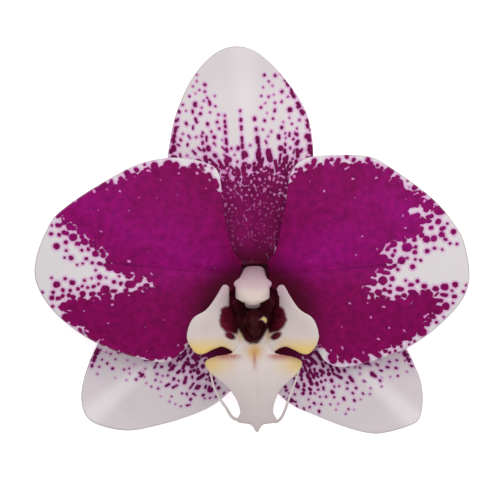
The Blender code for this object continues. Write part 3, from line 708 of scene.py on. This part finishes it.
PETAL_LEFT = PETAL | {
    "claw": (-2.8, 1.3),
    "aim": (-1.0, 0.05),
    "outline": [
        (-5.5, 9.6), (-6.5, 15.0), (-7.4, 22.0), (-10.3, 24.3), (-17.0, 25.3), (-24.5, 23.8), (-34.1, 18.5),
        (-40.4, 14.0), (-42.6, 11.2), (-45.1, 5.0), (-45.1, -0.8), (-40.7, -7.4), (-32.0, -13.4),
        (-20.5, -16.9), (-15.3, -15.3), (-12.4, -11.0),
    ],
    "solid": [
        (-2.0, 12.0), (-7.2, 18.4), (-10.6, 22.9), (-14.9, 23.4), (-21.7, 23.3), (-25.8, 21.4),
        (-30.0, 19.8), (-33.6, 19.0), (-37.2, 16.8), (-40.9, 13.9), (-38.8, 11.6), (-35.6, 10.0),
        (-33.3, 7.0), (-31.2, 6.4), (-30.2, 3.3), (-28.6, 1.7), (-25.8, 0.8), (-19.9, -0.6), (-20.2, -1.8),
        (-25.1, -2.2), (-28.2, -3.7), (-32.0, -3.6), (-38.2, -4.1), (-40.8, -5.4), (-38.5, -7.9),
        (-35.1, -11.0), (-30.7, -13.7),
        (-27.8, -15.5), (-24.9, -15.7), (-21.9, -16.3), (-18.7, -16.2), (-15.4, -14.8), (-10.0, -8.0),
        (-1.0, -2.0),
    ],
    "bare_wedge": [
        (-46.0, 9.0), (-42.6, 8.4), (-39.5, 4.4), (-35.5, 2.4), (-27.5, 1.0), (-37.0, 0.4), (-42.0, 0.8),
        (-43.6, -2.4), (-46.0, -3.5),
    ],
    "spots": PETAL_SPOTS | {"seed": 5},
    "flecks": PETAL_FLECKS | {"seed": 45},
}
PETAL_RIGHT = PETAL | {
    "claw": (2.8, 1.3),
    "aim": (1.0, 0.05),
    "outline": [
        (5.2, 9.6), (6.3, 15.0), (7.6, 22.2), (10.8, 25.2), (17.0, 25.9), (23.9, 25.5), (28.4, 23.1),
        (34.2, 19.0), (38.1, 15.6), (41.2, 11.8), (43.5, 7.5), (44.4, -0.5), (40.9, -6.8), (32.0, -13.8),
        (20.5, -17.7), (14.8, -16.9), (11.9, -11.6),
    ],
    "solid": [
        (2.0, 12.0), (6.8, 18.7), (8.1, 21.8), (12.1, 23.6), (17.7, 24.2), (23.9, 23.8), (28.2, 21.8),
        (33.7, 18.2), (37.6, 15.2), (38.4, 14.0), (35.4, 14.6), (32.4, 15.8), (32.0, 13.4), (34.0, 12.8),
        (36.6, 12.2), (33.5, 10.4), (34.0, 9.4), (31.6, 8.7), (28.4, 7.9), (25.9, 5.5), (26.1, 3.6),
        (28.2, 2.6), (26.0, 1.6), (24.4, 1.4), (23.0, -0.6), (22.6, -1.8), (24.4, -4.0), (28.0, -4.2),
        (30.1, -4.1), (33.0, -2.3), (37.8, -2.6), (37.4, -5.0), (36.2, -7.4), (34.5, -10.2), (32.0, -12.0),
        (27.6, -14.5), (22.0, -16.1), (17.7, -16.4), (13.3, -13.4), (9.0, -8.0), (1.0, -2.0),
    ],
    "bare_wedge": [
        (46.0, 8.0), (40.0, 6.0), (35.5, 4.5), (31.5, 1.6), (28.5, 0.8), (33.0, 0.0), (38.0, -0.3),
        (42.5, -1.0), (46.0, -1.0),
    ],
    "spots": PETAL_SPOTS | {"seed": 8},
    "flecks": PETAL_FLECKS | {"seed": 48},
}
petal_skin = spotted_skin(
    "petal_skin_velvet", ground="#D6D0D2", halo="#CFA6C8", spot="#8E086E", spot_far="#7A034F",
    cell=1.5, stretch=1.0, keel_highlight=0.0, maroon_and_shade_reach=17,
)
blade("left_petal", PETAL_LEFT, "petal_left", petal_skin)
blade("right_petal", PETAL_RIGHT, "petal_right", petal_skin)

# Lip
# The third petal, a waxy white and yellow lip hinged under the column: a claw, two side lobes that fold up
# beside the throat, a middle lobe with wide shoulders, a red-brown callus and two thin tendrils. It grew as
# one piece.
LIP_THICK = 1.1
LIP_THIN = 0.35  # share of its thickness that the middle lobe loses at its rims
LIP_RIBBON = [  # (x of the middle, y, half width, height) from the claw to the tip
    (-0.2, -2.7, 2.4, -0.9), (-0.2, -5.0, 4.5, 0.2), (-0.2, -8.0, 4.8, 2.4), (-0.2, -11.0, 4.5, 5.0),
    (-0.2, -13.6, 4.0, 7.0), (-0.2, -15.0, 4.2, 7.9), (-0.2, -15.7, 7.6, 8.2), (-0.2, -16.5, 9.6, 8.5),
    (-0.2, -17.6, 9.9, 8.9), (-0.1, -19.2, 8.9, 9.3), (0.0, -20.7, 7.1, 9.6), (0.1, -22.3, 5.4, 9.8),
    (0.3, -24.6, 4.0, 10.1), (0.45, -27.0, 3.4, 10.5), (0.5, -28.2, 3.9, 10.8), (0.5, -28.9, 4.1, 11.0),
    (0.5, -29.3, 3.8, 11.1), (0.5, -29.5, 1.7, 11.1), (0.5, -30.0, 0.9, 11.2), (0.5, -31.2, 0.25, 11.2),
]
RIBBON_STEPS = 150
RIBBON_ACROSS = 40
CLAW_SHARE = 0.36  # of the ribbon's length
TROUGH = 1.3  # how far the claw's sides rise
SHOULDER_BACK = 0.022  # how strongly the middle lobe's sides bend back
LIP_GROOVE = 0.35  # depth of the groove down its middle
LIP_GROOVE_WIDE = 0.7
SIDE_LOBE_MARGIN = [
    (4.9, -1.9, 9.3), (5.4, -1.0, 10.1), (6.3, -1.1, 10.5), (7.6, -3.3, 10.9), (9.6, -6.0, 11.3),
    (12.3, -7.8, 11.6), (13.5, -10.8, 11.4), (13.2, -13.0, 11.2), (11.6, -15.0, 11.3),
    (9.9, -15.0, 11.2), (8.6, -14.2, 10.7), (7.2, -13.6, 10.0), (5.7, -13.8, 9.0), (4.2, -14.7, 8.0),
]
SIDE_LOBE_FOLD = [
    (5.2, -3.0, 8.2), (6.3, -5.6, 8.9), (7.3, -8.4, 9.4), (7.0, -10.6, 9.2), (5.8, -12.4, 8.5),
    (3.6, -13.9, 7.6),
]
SIDE_LOBE_ROOT = [(4.5, -5.3, 2.6), (4.2, -7.0, 2.6), (3.6, -10.0, 4.2), (2.4, -13.6, 7.2)]
SIDE_LOBE_STEPS = 72
SIDE_LOBE_ACROSS = 26
LOBE_STRETCH = 0.015  # how much wider the left lobe is than the given one, and the right one narrower
LOBE_ASIDE = -0.15  # how far both are shifted sideways
CALLUS_CENTRE = (0.0, -9.3, 5.6)
CALLUS_HALF = (2.6, 3.4, 3.0)
CALLUS_TAPER = 0.3  # of its width, at its lower end
CALLUS_FULL = 1.3  # over 1 brings it to its full width before its upper end
CALLUS_RIDGE = 1.3  # from one ridge to the next
CALLUS_FURROW = 0.3
HORN_CENTRE = (1.9, -8.3, 8.0)
HORN_HALF = (0.75, 0.8, 1.5)
LIP_VOXEL = 0.2
THROAT = [  # the maroon of the throat, as seen from the front
    (-5.2, 1.0), (-5.3, -5.2), (-6.2, -5.4), (-6.9, -5.9), (-7.1, -7.2), (-7.3, -8.7), (-6.9, -9.7),
    (-6.0, -10.6), (-3.5, -11.2), (-3.3, -10.2), (-2.7, -11.2), (-1.9, -12.5), (-1.0, -13.1), (0.5, -13.1),
    (1.2, -12.6), (2.0, -11.5), (2.7, -10.1), (3.0, -10.9), (4.8, -10.7), (6.0, -9.7), (6.7, -8.3),
    (6.4, -7.0), (6.1, -5.9), (5.3, -5.4), (4.5, -5.2), (4.3, 1.0),
]
THROAT_MIDDLE = -0.3
LOWER_SPOT_PLACE = (4.7, -11.45)  # of the smaller maroon spot below each side of the throat
LOWER_SPOT_HALF = (1.25, 0.7)
LOWER_SPOT_LEAN = math.radians(28)
HORN_MARK = [(2.5, -7.0), (1.0, -8.1), (1.9, -8.3), (2.6, -9.2), (2.9, -8.0)]  # a yellow fleck on one horn
STAINED = 3.0  # depth that is safely in the throat's maroon
UNSTAINED = -5.0  # and one that is safely out of it


def sheet(columns, rows, place, thickness):
    """A closed sheet from place(column, row), thickened along its normals by thickness(column, row)."""
    bm = bmesh.new()
    thick = {}
    for vert, column, row in grid_places(bm, columns, rows):
        thick[vert] = thickness(column, row)
        vert.co = place(column, row)
    doubled(bm, lambda vert: vert.normal * thick[vert] / 2)
    bmesh.ops.recalc_face_normals(bm, faces=bm.faces[:])
    return bm


def lip_ribbon():
    """The claw and the middle lobe, from one end to the other."""
    line = smooth_curve([(x, y, z) for x, y, _, z in LIP_RIBBON], RIBBON_STEPS + 1)
    widths = smooth_curve([(w, y, 0.0) for _, y, w, _ in LIP_RIBBON], 8 * RIBBON_STEPS)
    halves = np.interp([-p.y for p in line], [-q.y for q in widths], [q.x for q in widths])

    def place(column, row):
        centred, along = 2 * column / RIBBON_ACROSS - 1, row / RIBBON_STEPS
        x = centred * float(halves[row])
        in_claw = max(0.0, 1 - along / CLAW_SHARE)
        height = line[row].z - SHOULDER_BACK * x * x * (1 - in_claw) + TROUGH * centred**2 * in_claw
        height -= LIP_GROOVE * hump(x, 0.0, LIP_GROOVE_WIDE) * math.sin(math.pi * min(along * 1.1, 1.0))
        return Vector((line[row].x + x, line[row].y, height))

    def thickness(column, row):
        return LIP_THICK * (1 - LIP_THIN * abs(2 * column / RIBBON_ACROSS - 1) ** 3)

    return sheet(RIBBON_ACROSS, RIBBON_STEPS, place, thickness)


def side_lobe(sign):
    """One side lobe, bent over its fold from its root to its margin."""
    lines = [SIDE_LOBE_ROOT, SIDE_LOBE_FOLD, SIDE_LOBE_MARGIN]
    root, fold, margin = [smooth_curve(line, SIDE_LOBE_STEPS + 1) for line in lines]

    def place(column, row):
        start, end = root[column], margin[column]
        spot = bent(start, 2 * fold[column] - (start + end) / 2, end, row / SIDE_LOBE_ACROSS)
        return Vector((spot.x * (sign - LOBE_STRETCH) + LOBE_ASIDE, spot.y, spot.z))

    def thickness(column, row):
        return LIP_THICK * (0.85 - 0.2 * (row / SIDE_LOBE_ACROSS) ** 4)

    return sheet(SIDE_LOBE_STEPS, SIDE_LOBE_ACROSS, place, thickness)


def ellipsoid(centre, half, axes=(RIGHT, Vector((0, 1, 0)), Vector((0, 0, 1)))):
    """A ball stretched to the half sizes along the three axes."""
    bm = bmesh.new()
    bmesh.ops.create_uvsphere(bm, u_segments=32, v_segments=20, radius=1.0)
    for vert in bm.verts:
        x, y, z = vert.co
        vert.co = Vector(centre) + axes[0] * x * half[0] + axes[1] * y * half[1] + axes[2] * z * half[2]
    return bm


def callus():
    """The fleshy swelling in the throat, tapered downwards and furrowed in front."""
    bm = ellipsoid(CALLUS_CENTRE, CALLUS_HALF)
    low = CALLUS_CENTRE[1] - CALLUS_HALF[1]
    for vert in bm.verts:
        share = (vert.co.y - low) / (2 * CALLUS_HALF[1])
        vert.co.x *= mix(CALLUS_TAPER, 1.0, min(share * CALLUS_FULL, 1.0))
        upper = min(max((vert.co.z - CALLUS_CENTRE[2]) / CALLUS_HALF[2], 0.0), 1.0)
        vert.co.z -= CALLUS_FURROW * math.cos(2 * math.pi * vert.co.x / CALLUS_RIDGE) * upper
    return bm


def grown_together(shapes, voxel, rounds):
    """One closed skin round overlapping shapes, with the creases between them softened as in tissue."""
    mesh = bpy.data.meshes.new("growing")
    together = bmesh.new()
    for bm in shapes:
        bm.to_mesh(mesh)
        together.from_mesh(mesh)
        bm.free()
    together.to_mesh(mesh)
    together.free()
    holder = bpy.data.objects.new("growing", mesh)
    bpy.context.scene.collection.objects.link(holder)
    skin = holder.modifiers.new("skin", "REMESH")
    skin.mode = "VOXEL"
    skin.voxel_size = voxel
    graph = bpy.context.evaluated_depsgraph_get()
    made = bpy.data.meshes.new_from_object(holder.evaluated_get(graph))
    bpy.data.objects.remove(holder)
    bm = bmesh.new()
    bm.from_mesh(made)
    every_way = {"use_axis_x": True, "use_axis_y": True, "use_axis_z": True}
    for _ in range(rounds):
        bmesh.ops.smooth_vert(bm, verts=bm.verts[:], factor=0.5, **every_way)
    return bm


def lip_skin():
    """Waxy petal tissue of the lip: cream white, yellow towards the rims, deep maroon in the throat."""
    material, tree, place = tissue("lip_skin_waxy_cream", 0.38, 0.12)
    yellow, peach, depth = add(tree, "SeparateXYZ", [add(tree, "Attribute", attribute_name="lip_tint")[1]])
    sideways, down, _ = add(tree, "SeparateXYZ", [place])
    cloud = add(tree, "TexNoise", [place, sized(2.0), 3.0])[0]
    # Painted shade: the middle lobe greys and darkens towards its lower end.
    lower_shade = add(tree, "MapRange", [down, (HEART.y - 17.0) * MM, (HEART.y - 29.0) * MM])[0]
    upper = add(tree, "MapRange", [down, (HEART.y - 7.0) * MM, (HEART.y - 1.5) * MM, 0.0, 0.85])[0]
    wide, long = sized(2.22), sized(0.667)
    streak = add(tree, "Mapping", {"Vector": place, "Scale": (wide, long, wide)})[0]
    streak = add(tree, "TexNoise", [streak, 1.0, 3.0])[0]
    ragged = add(tree, "Math", [streak, 0.5, -0.25], operation="MULTIPLY_ADD")[0]
    depth = add(tree, "Math", [depth, ragged], operation="ADD")[0]
    stained = add(tree, "MapRange", [depth, -0.35, 0.35], **SOFT)[0]
    aside = add(tree, "Math", [sideways, -HEART.x * MM], operation="ADD")[0]
    aside = add(tree, "Math", [aside], operation="ABSOLUTE")[0]
    redder = add(tree, "Math", [streak, 8 * MM, aside], operation="MULTIPLY_ADD")[0]
    redder = add(tree, "MapRange", [redder, 7 * MM, 12 * MM])[0]
    maroon = layered(tree, "#26040B", (cloud, "#3E0A12"), (redder, "#681430"))
    coat = layered(
        tree, "#C8BBB9", (cloud, "#D2C7C5"), (lower_shade, "#B9AEAD"), (upper, "#B59AA4"), (yellow, "#D4B568"),
        (peach, "#A8605C"), (stained, maroon),
    )
    grain = add(tree, "TexNoise", [place, sized(0.667), 3.0])[0]  # its cells, as coarse as they need to show
    return coated(material, coat, grain, 0.3, 0.12)


def ramp(value, start, end):
    """0 up to the start, 1 from the end on, and straight between."""
    return np.clip((value - start) / (end - start), 0, 1)


def paint_lip(bm):
    """Stores each point's yellow, peach and depth in the maroon, from its place on the lip."""
    bm.normal_update()
    tint = bm.verts.layers.float_vector.new("lip_tint")
    points = np.array([vert.co[:] for vert in bm.verts])
    normals = np.array([vert.normal[:] for vert in bm.verts])
    x, y, z = points.T
    out = np.abs(x)

    # Yellow and peach on the side lobes' faces, the shoulders and the crest, and beside the callus
    on_lobe = (y > -15.3) & (out > 3.3) & (z > 6.6)
    yellow = np.where(on_lobe, 0.95 * ramp(y, -11.2, -14.2) * ramp(out, 3.6, 6.1), 0)
    peach = np.where(on_lobe, 0.12 * hump(out, 9.5, 2.2) * hump(y, -9.8, 2.2), 0)
    on_shoulder = y < -15.3
    yellow = np.where(on_shoulder, 0.75 * ramp(out, 3.0, 8.5) * ramp(y, -20.5, -18.0), yellow)
    crest = hump(x, 0.0, 1.5) * hump(y, -14.7, 1.5)
    beside = hump(out, 2.9, 0.8) * hump(y, -11.4, 1.2)
    yellow = np.maximum(yellow, np.maximum(crest, 0.6 * beside))
    rim = hump(y + out * 0.03, -15.4, 0.85) * ramp(out, 2.0, 4.0)
    peach = np.where(on_shoulder, 0.8 * rim * ramp(out, 9.5, 6.5), peach)
    midline = hump(x, 0.0, 0.45) * ramp(y, -14.2, -15.0) * ramp(y, -19.0, -16.5)
    peach = np.maximum(peach, np.maximum(0.7 * midline, 0.4 * crest))

    # Maroon in the throat, on the lobes only on the sides that face it, and in the two spots below it
    inward = normals[:, 2] * 0.8 - np.sign(x) * normals[:, 0] * 0.6
    open_way = np.where((out > 3.2) & (z > 6.8), inward * 3 + 0.6, STAINED)
    maroon = np.minimum(depth_inside(points[:, :2], THROAT), open_way)
    maroon = np.where((z < 9.4) & (y > -5.6) & (out < 5.1) & (inward > 0), STAINED, maroon)
    aside, down = np.abs(x - THROAT_MIDDLE) - LOWER_SPOT_PLACE[0], y - LOWER_SPOT_PLACE[1]
    cosine, sine = math.cos(LOWER_SPOT_LEAN), math.sin(LOWER_SPOT_LEAN)
    long_way, short_way = aside * cosine + down * sine, down * cosine - aside * sine
    spot = 1 - np.hypot(long_way / LOWER_SPOT_HALF[0], short_way / LOWER_SPOT_HALF[1])
    maroon = np.maximum(maroon, np.where(z > 6.0, spot, UNSTAINED))

    # A bare yellow fleck on one horn
    on_horn = depth_inside(points[:, :2], HORN_MARK)
    horn = (z > HORN_CENTRE[2] - 1.6) & (on_horn > -0.5)
    maroon = np.where(horn, np.minimum(maroon, -on_horn * 2), maroon)
    yellow = np.where(horn & (on_horn > 0), 0.8, yellow)
    for vert, values in zip(bm.verts, np.column_stack([yellow, peach, maroon])):
        vert[tint] = values


def make_lip():
    x, y, z = HORN_CENTRE
    horns = [ellipsoid((-x, y, z), HORN_HALF), ellipsoid((x, y, z), HORN_HALF)]
    bm = grown_together([lip_ribbon(), side_lobe(-1), side_lobe(1), callus(), *horns], LIP_VOXEL, 4)
    paint_lip(bm)
    finished("lip_blade", bm, "lip", cream_skin)


TENDRIL_START = 0.38  # radii
TENDRIL_END = 0.15
TENDRIL_SIDES = 20
TENDRIL_STEPS = 70
TENDRIL_LEFT = [
    (-2.2, -28.6, 10.6), (-3.9, -28.5, 10.9), (-4.9, -27.7, 11.2), (-5.8, -26.2, 11.3), (-6.8, -24.8, 11.0),
    (-8.1, -22.6, 10.0), (-8.8, -20.3, 8.6), (-9.2, -18.4, 6.9),
]
TENDRIL_RIGHT = [
    (2.8, -28.9, 10.6), (4.5, -29.0, 10.9), (5.5, -28.2, 11.2), (6.3, -26.6, 11.4), (6.8, -25.0, 11.2),
    (7.6, -22.8, 10.2), (8.5, -20.5, 8.7), (9.2, -18.5, 6.9),
]


def tendril(name, route):
    line = smooth_curve(route, TENDRIL_STEPS + 1)
    rings = []
    for i, point in enumerate(line):
        ahead = (line[min(i + 1, TENDRIL_STEPS)] - line[max(i - 1, 0)]).normalized()
        out = ahead.cross(Vector((0, 0, 1))).normalized()
        up = out.cross(ahead)
        share = i / TENDRIL_STEPS
        radius = mix(TENDRIL_START, TENDRIL_END, share**0.8) * math.sqrt(max(1 - share**30, 0.05))
        ring = [out * math.cos(turn) + up * math.sin(turn) for turn in turns(TENDRIL_SIDES)]
        rings.append([point + way * radius for way in ring])
    bm = bmesh.new()
    ring_loft(bm, rings)
    tint = bm.verts.layers.float_vector.new("lip_tint")
    for vert in bm.verts:
        vert[tint] = (0.0, 0.0, UNSTAINED)
    finished(name, bm, "lip", cream_skin)


cream_skin = lip_skin()
make_lip()
tendril("lip_tendril_left", TENDRIL_LEFT)
tendril("lip_tendril_right", TENDRIL_RIGHT)

# Column
# The fused style and stamen over the throat, fleshy and mauve white, with a wing on each side of its tip,
# the stigma's hollow below and a short beak under the cap. It grows out of the ovary's top.
COLUMN_FOOT = -3.7
COLUMN_UP = 0.3  # how far its foot stands towards the dorsal sepal
COLUMN_ASIDE = -0.4  # how far its tip leans to the left
COLUMN_LEAN = math.radians(35)  # how far it bends over the lip
COLUMN_STRAIGHT = 2.5  # length before it bends
COLUMN_LENGTH = 12.4
COLUMN_SQUARE = 0.55  # under 1 squares its section
COLUMN_RINGS = [  # (distance along, half width, dorsal half depth, ventral half depth)
    (0.0, 2.3, 2.5, 2.3), (2.5, 2.3, 2.6, 2.2), (5.0, 2.4, 2.6, 1.9), (7.5, 2.7, 2.5, 1.7),
    (9.5, 3.2, 2.4, 1.8), (11.0, 4.35, 2.3, 2.3), (11.8, 4.3, 2.1, 2.7), (12.4, 3.5, 1.7, 2.7),
]
COLUMN_NARROW = 0.78  # its ventral side at the tip, behind the cap
WING_SHARE = (0.35, 0.75)  # the narrowing ends and begins at these shares of the dorsal depth
WING_LENGTH = 1.5  # over which it sets in, beyond the stigma
COLUMN_SIDES = 72
COLUMN_STEPS = 60
STIGMA_ALONG = 9.3
STIGMA_HALF = (1.7, 1.5)  # half width and half length of the hollow
STIGMA_BELOW = 2.2  # from the column's line to the hollow
STIGMA_OVER = 1.2  # what lies further over it stays
STIGMA_DEEP = 1.1
BEAK_HALF = (1.7, 1.1, 0.6)
BEAK_DOWN = 3.5
BEAK_BACK = 0.9
COLUMN_VOXEL = 0.15


def column_frame(along):
    """A point on the column's line, with its dorsal and its forward direction there."""
    radius = (COLUMN_LENGTH - COLUMN_STRAIGHT) / COLUMN_LEAN
    turned = max(along - COLUMN_STRAIGHT, 0.0) / radius
    y = COLUMN_UP - radius * (1 - math.cos(turned))
    z = COLUMN_FOOT + min(along, COLUMN_STRAIGHT) + radius * math.sin(turned)
    dorsal = Vector((0, math.cos(turned), math.sin(turned)))
    forward = Vector((0, -math.sin(turned), math.cos(turned)))
    return Vector((COLUMN_ASIDE * along / COLUMN_LENGTH, y, z)), dorsal, forward


def column_skin():
    """Fleshy column tissue: mauve over its back, pinker at the wings, paler towards the tip."""
    material, tree, place = tissue("column_skin_fleshy_mauve", 0.42, 0.15)
    cloud = add(tree, "TexNoise", [place, sized(2.5), 3.0])[0]
    x, y, _ = add(tree, "SeparateXYZ", [place])
    upward = add(tree, "MapRange", [y, (HEART.y - 1.7) * MM, (HEART.y + 2.7) * MM])[0]
    upward = add(tree, "Math", [cloud, 0.5, upward], operation="MULTIPLY_ADD")[0]
    upward = add(tree, "Math", [upward, -0.25], operation="ADD", use_clamp=True)[0]
    aside = add(tree, "Math", [x, -(HEART.x + COLUMN_ASIDE) * MM], operation="ADD")[0]
    aside = add(tree, "Math", [aside], operation="ABSOLUTE")[0]
    winged = add(tree, "MapRange", [aside, 2.5 * MM, 4.0 * MM, 0.0, 0.7])[0]
    coat = layered(tree, "#C0A8AC", (upward, "#A68793"), (winged, "#B28AA0"))
    return coated(material, coat, cloud, 0.2, 0.15)


def squared(share, half):
    """A side of a squared oval, from the sine or cosine of the turn."""
    return math.copysign(abs(share) ** COLUMN_SQUARE, share) * half


def make_column():
    sizes = smooth_curve([ring[:3] for ring in COLUMN_RINGS], COLUMN_STEPS + 1)
    ventrals = smooth_curve([(along, ventral, 0) for along, _, _, ventral in COLUMN_RINGS], COLUMN_STEPS + 1)
    rings = []
    for along, half, dorsal_half in sizes:
        ventral_half = float(np.interp(along, [p.x for p in ventrals], [p.y for p in ventrals]))
        centre, dorsal, _ = column_frame(along)
        at_tip = min(max((along - STIGMA_ALONG) / WING_LENGTH, 0.0), 1.0)
        ring = []
        for turn in turns(COLUMN_SIDES):
            up = squared(math.sin(turn), dorsal_half if math.sin(turn) > 0 else ventral_half)
            below = (WING_SHARE[1] - up / dorsal_half) / (WING_SHARE[1] - WING_SHARE[0])
            narrower = mix(1.0, COLUMN_NARROW, min(max(below, 0.0), 1.0) * at_tip)
            over = squared(math.cos(turn), half) * narrower
            ring.append(centre + RIGHT * over + dorsal * up)
        rings.append(ring)
    body = bmesh.new()
    ring_loft(body, rings)
    bmesh.ops.recalc_face_normals(body, faces=body.faces[:])
    centre, dorsal, forward = column_frame(COLUMN_LENGTH)
    beak = ellipsoid(centre - dorsal * BEAK_DOWN - forward * BEAK_BACK, BEAK_HALF, (RIGHT, dorsal, forward))
    bm = grown_together([body, beak], COLUMN_VOXEL, 3)
    centre, dorsal, forward = column_frame(STIGMA_ALONG)
    for vert in bm.verts:
        away = vert.co - centre + dorsal * STIGMA_BELOW
        near = math.hypot(away.x / STIGMA_HALF[0], away.dot(forward) / STIGMA_HALF[1])
        if near < 1 and away.dot(dorsal) < STIGMA_OVER:
            vert.co += dorsal * STIGMA_DEEP * (1 - near**2)
    finished("column_flesh", bm, "column", column_skin())


make_column()

# Anther cap
# A loose ivory cap over the column's tip, smooth and matt, with squared shoulders, cut lower corners and its
# lower rim drawn into a short beak. It sits on the column and lifts off with the pollen masses.
CAP_HALF = (3.5, 2.2, 2.0)
CAP_SQUARE = 4.0  # over 2 squares its outline
CAP_CHAMFER = 1.25  # cuts the lower corners where both half sizes together pass this
CAP_BEAK = 0.15
CAP_DROP = 0.2
CAP_SKIRT = 0.45  # how far its rim reaches back over the column, as a share of its height


def cap_skin():
    """Dry, matt ivory tissue of the anther cap, faintly clouded, and mauve at its upper side."""
    material, tree, place = tissue("cap_skin_matt_ivory", 0.5, 0.12)
    cloud = add(tree, "TexNoise", [place, sized(2.22), 3.0])[0]
    y = add(tree, "SeparateXYZ", [place])[1]
    upward = add(tree, "MapRange", [y, (HEART.y - 4.2) * MM, (HEART.y - 1.3) * MM])[0]
    coat = layered(tree, "#E2D1C6", (cloud, "#E8DBCF"), (upward, "#C0A8AC"))
    return coated(material, coat, cloud, 0.2, 0.12)


def make_cap():
    centre, dorsal, forward = column_frame(COLUMN_LENGTH)
    base = centre - dorsal * CAP_DROP + forward * SEAT_GAP
    bm = bmesh.new()
    bmesh.ops.create_uvsphere(bm, u_segments=72, v_segments=44, radius=1.0)
    every = bm.verts[:] + bm.edges[:] + bm.faces[:]
    bmesh.ops.bisect_plane(bm, geom=every, plane_co=(0, 0, 0), plane_no=(0, 0, 1), clear_inner=True)
    bmesh.ops.holes_fill(bm, edges=[edge for edge in bm.edges if edge.is_boundary], sides=0)
    for vert in bm.verts:
        x, y, z = vert.co
        radius = math.hypot(x, y)
        if radius > 1e-6:
            squarer = (abs(x / radius) ** CAP_SQUARE + abs(y / radius) ** CAP_SQUARE) ** (-1 / CAP_SQUARE)
            x *= squarer
            y *= squarer
        beak = CAP_BEAK * max(-y, 0.0) ** 3 * max(1 - abs(x), 0.0)
        corner = max(abs(x) + abs(y) - CAP_CHAMFER * radius, 0.0) / 2 if y < 0 else 0.0
        x -= math.copysign(corner, x)
        up = (y + corner) * CAP_HALF[1] - beak
        if z < 1e-4:
            z -= CAP_SKIRT
        vert.co = base + RIGHT * x * CAP_HALF[0] + dorsal * up + forward * z * CAP_HALF[2]
    finished("cap_shell", bm, "anther_cap", cap_skin())


make_cap()

# Pollinia
# Two waxy yellow pollen masses on one short stalk, in the pocket under the cap. The solid's shape is right,
# so it stays and gets its wax finish here.


def pollen_wax():
    """Packed pollen: waxy, orange yellow and granular, with grains drawn as coarse as they need to show."""
    material, tree, place = tissue("pollen_wax_yellow", 0.4, 0.15, glow=0.0)
    grain = add(tree, "TexNoise", [place, sized(0.4), 2.0])[0]
    return coated(material, layered(tree, "#D99A28", (grain, "#E8BC50")), grain, 0.3, 0.05)


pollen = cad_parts["pollinia"]
pollen.data.materials.clear()
pollen.data.materials.append(pollen_wax())

# Floor, light and camera
# A plain white table, an even white surround and one large soft lamp from above, as in a studio. The
# camera looks straight down on the bloom through a long lens.
FLOOR_SIZE = 2.0  # metres, as the lamp's size and place below
FLOOR_GLOW = 0.5  # keeps the table white in the picture, as an overexposed studio ground
SURROUND = 0.68
LAMP_SIZE = 0.4
LAMP_PLACE = Vector((0.08, 0.24, 0.58))
LAMP_POWER = 1.7
FRAME_WIDTH = 103.45  # what the picture spans at the heart's height
VIEW_CENTRE = Vector((-0.53, -2.09, LIFT))
CAMERA_AWAY = 1400.0
WHITE = (1.0, 1.0, 1.0, 1.0)


def make_floor():
    """A matt white table, with a grain that hardly shows."""
    bm = bmesh.new()
    bmesh.ops.create_grid(bm, x_segments=1, y_segments=1, size=FLOOR_SIZE / 2)
    mesh = bpy.data.meshes.new("floor")
    bm.to_mesh(mesh)
    bm.free()
    floor = bpy.data.objects.new("floor", mesh)
    bpy.context.scene.collection.objects.link(floor)
    material = bpy.data.materials.new("floor_matt_white")
    material.use_nodes = True
    tree = material.node_tree
    shader = tree.nodes["Principled BSDF"]
    grain = add(tree, "TexNoise", [add(tree, "TexCoord")[3], sized(3.33)])[0]
    tree.links.new(layered(tree, "#F8F8F8", (grain, "#FCFCFC")), shader.inputs["Base Color"])
    shader.inputs["Roughness"].default_value = 0.9
    shader.inputs["Emission Color"].default_value = WHITE
    shader.inputs["Emission Strength"].default_value = FLOOR_GLOW
    mesh.materials.append(material)
    floor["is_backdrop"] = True


def make_light():
    world = bpy.data.worlds.new("surround")
    world.use_nodes = True
    sky = world.node_tree.nodes["Background"]
    sky.inputs["Color"].default_value = WHITE
    sky.inputs["Strength"].default_value = SURROUND
    bpy.context.scene.world = world
    lamp = bpy.data.lights.new("softbox", "AREA")
    lamp.shape = "DISK"
    lamp.size = LAMP_SIZE
    lamp.energy = LAMP_POWER
    holder = bpy.data.objects.new("softbox", lamp)
    holder.location = LAMP_PLACE
    holder.rotation_euler = (-LAMP_PLACE).to_track_quat("-Z", "Y").to_euler()
    bpy.context.scene.collection.objects.link(holder)


def make_camera():
    lens = bpy.data.cameras.new("camera")
    lens.angle = 2 * math.atan(FRAME_WIDTH / 2 / CAMERA_AWAY)
    camera = bpy.data.objects.new("camera", lens)
    camera.location = (VIEW_CENTRE + Vector((0, 0, CAMERA_AWAY))) * MM
    bpy.context.scene.collection.objects.link(camera)
    bpy.context.scene.camera = camera
    bpy.context.scene.view_settings.view_transform = "Standard"


make_floor()
make_light()
make_camera()

boxes = {"cad": CAD_BOX, "visual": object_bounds()}
{name: [list(corner) for corner in box] for name, box in boxes.items()}
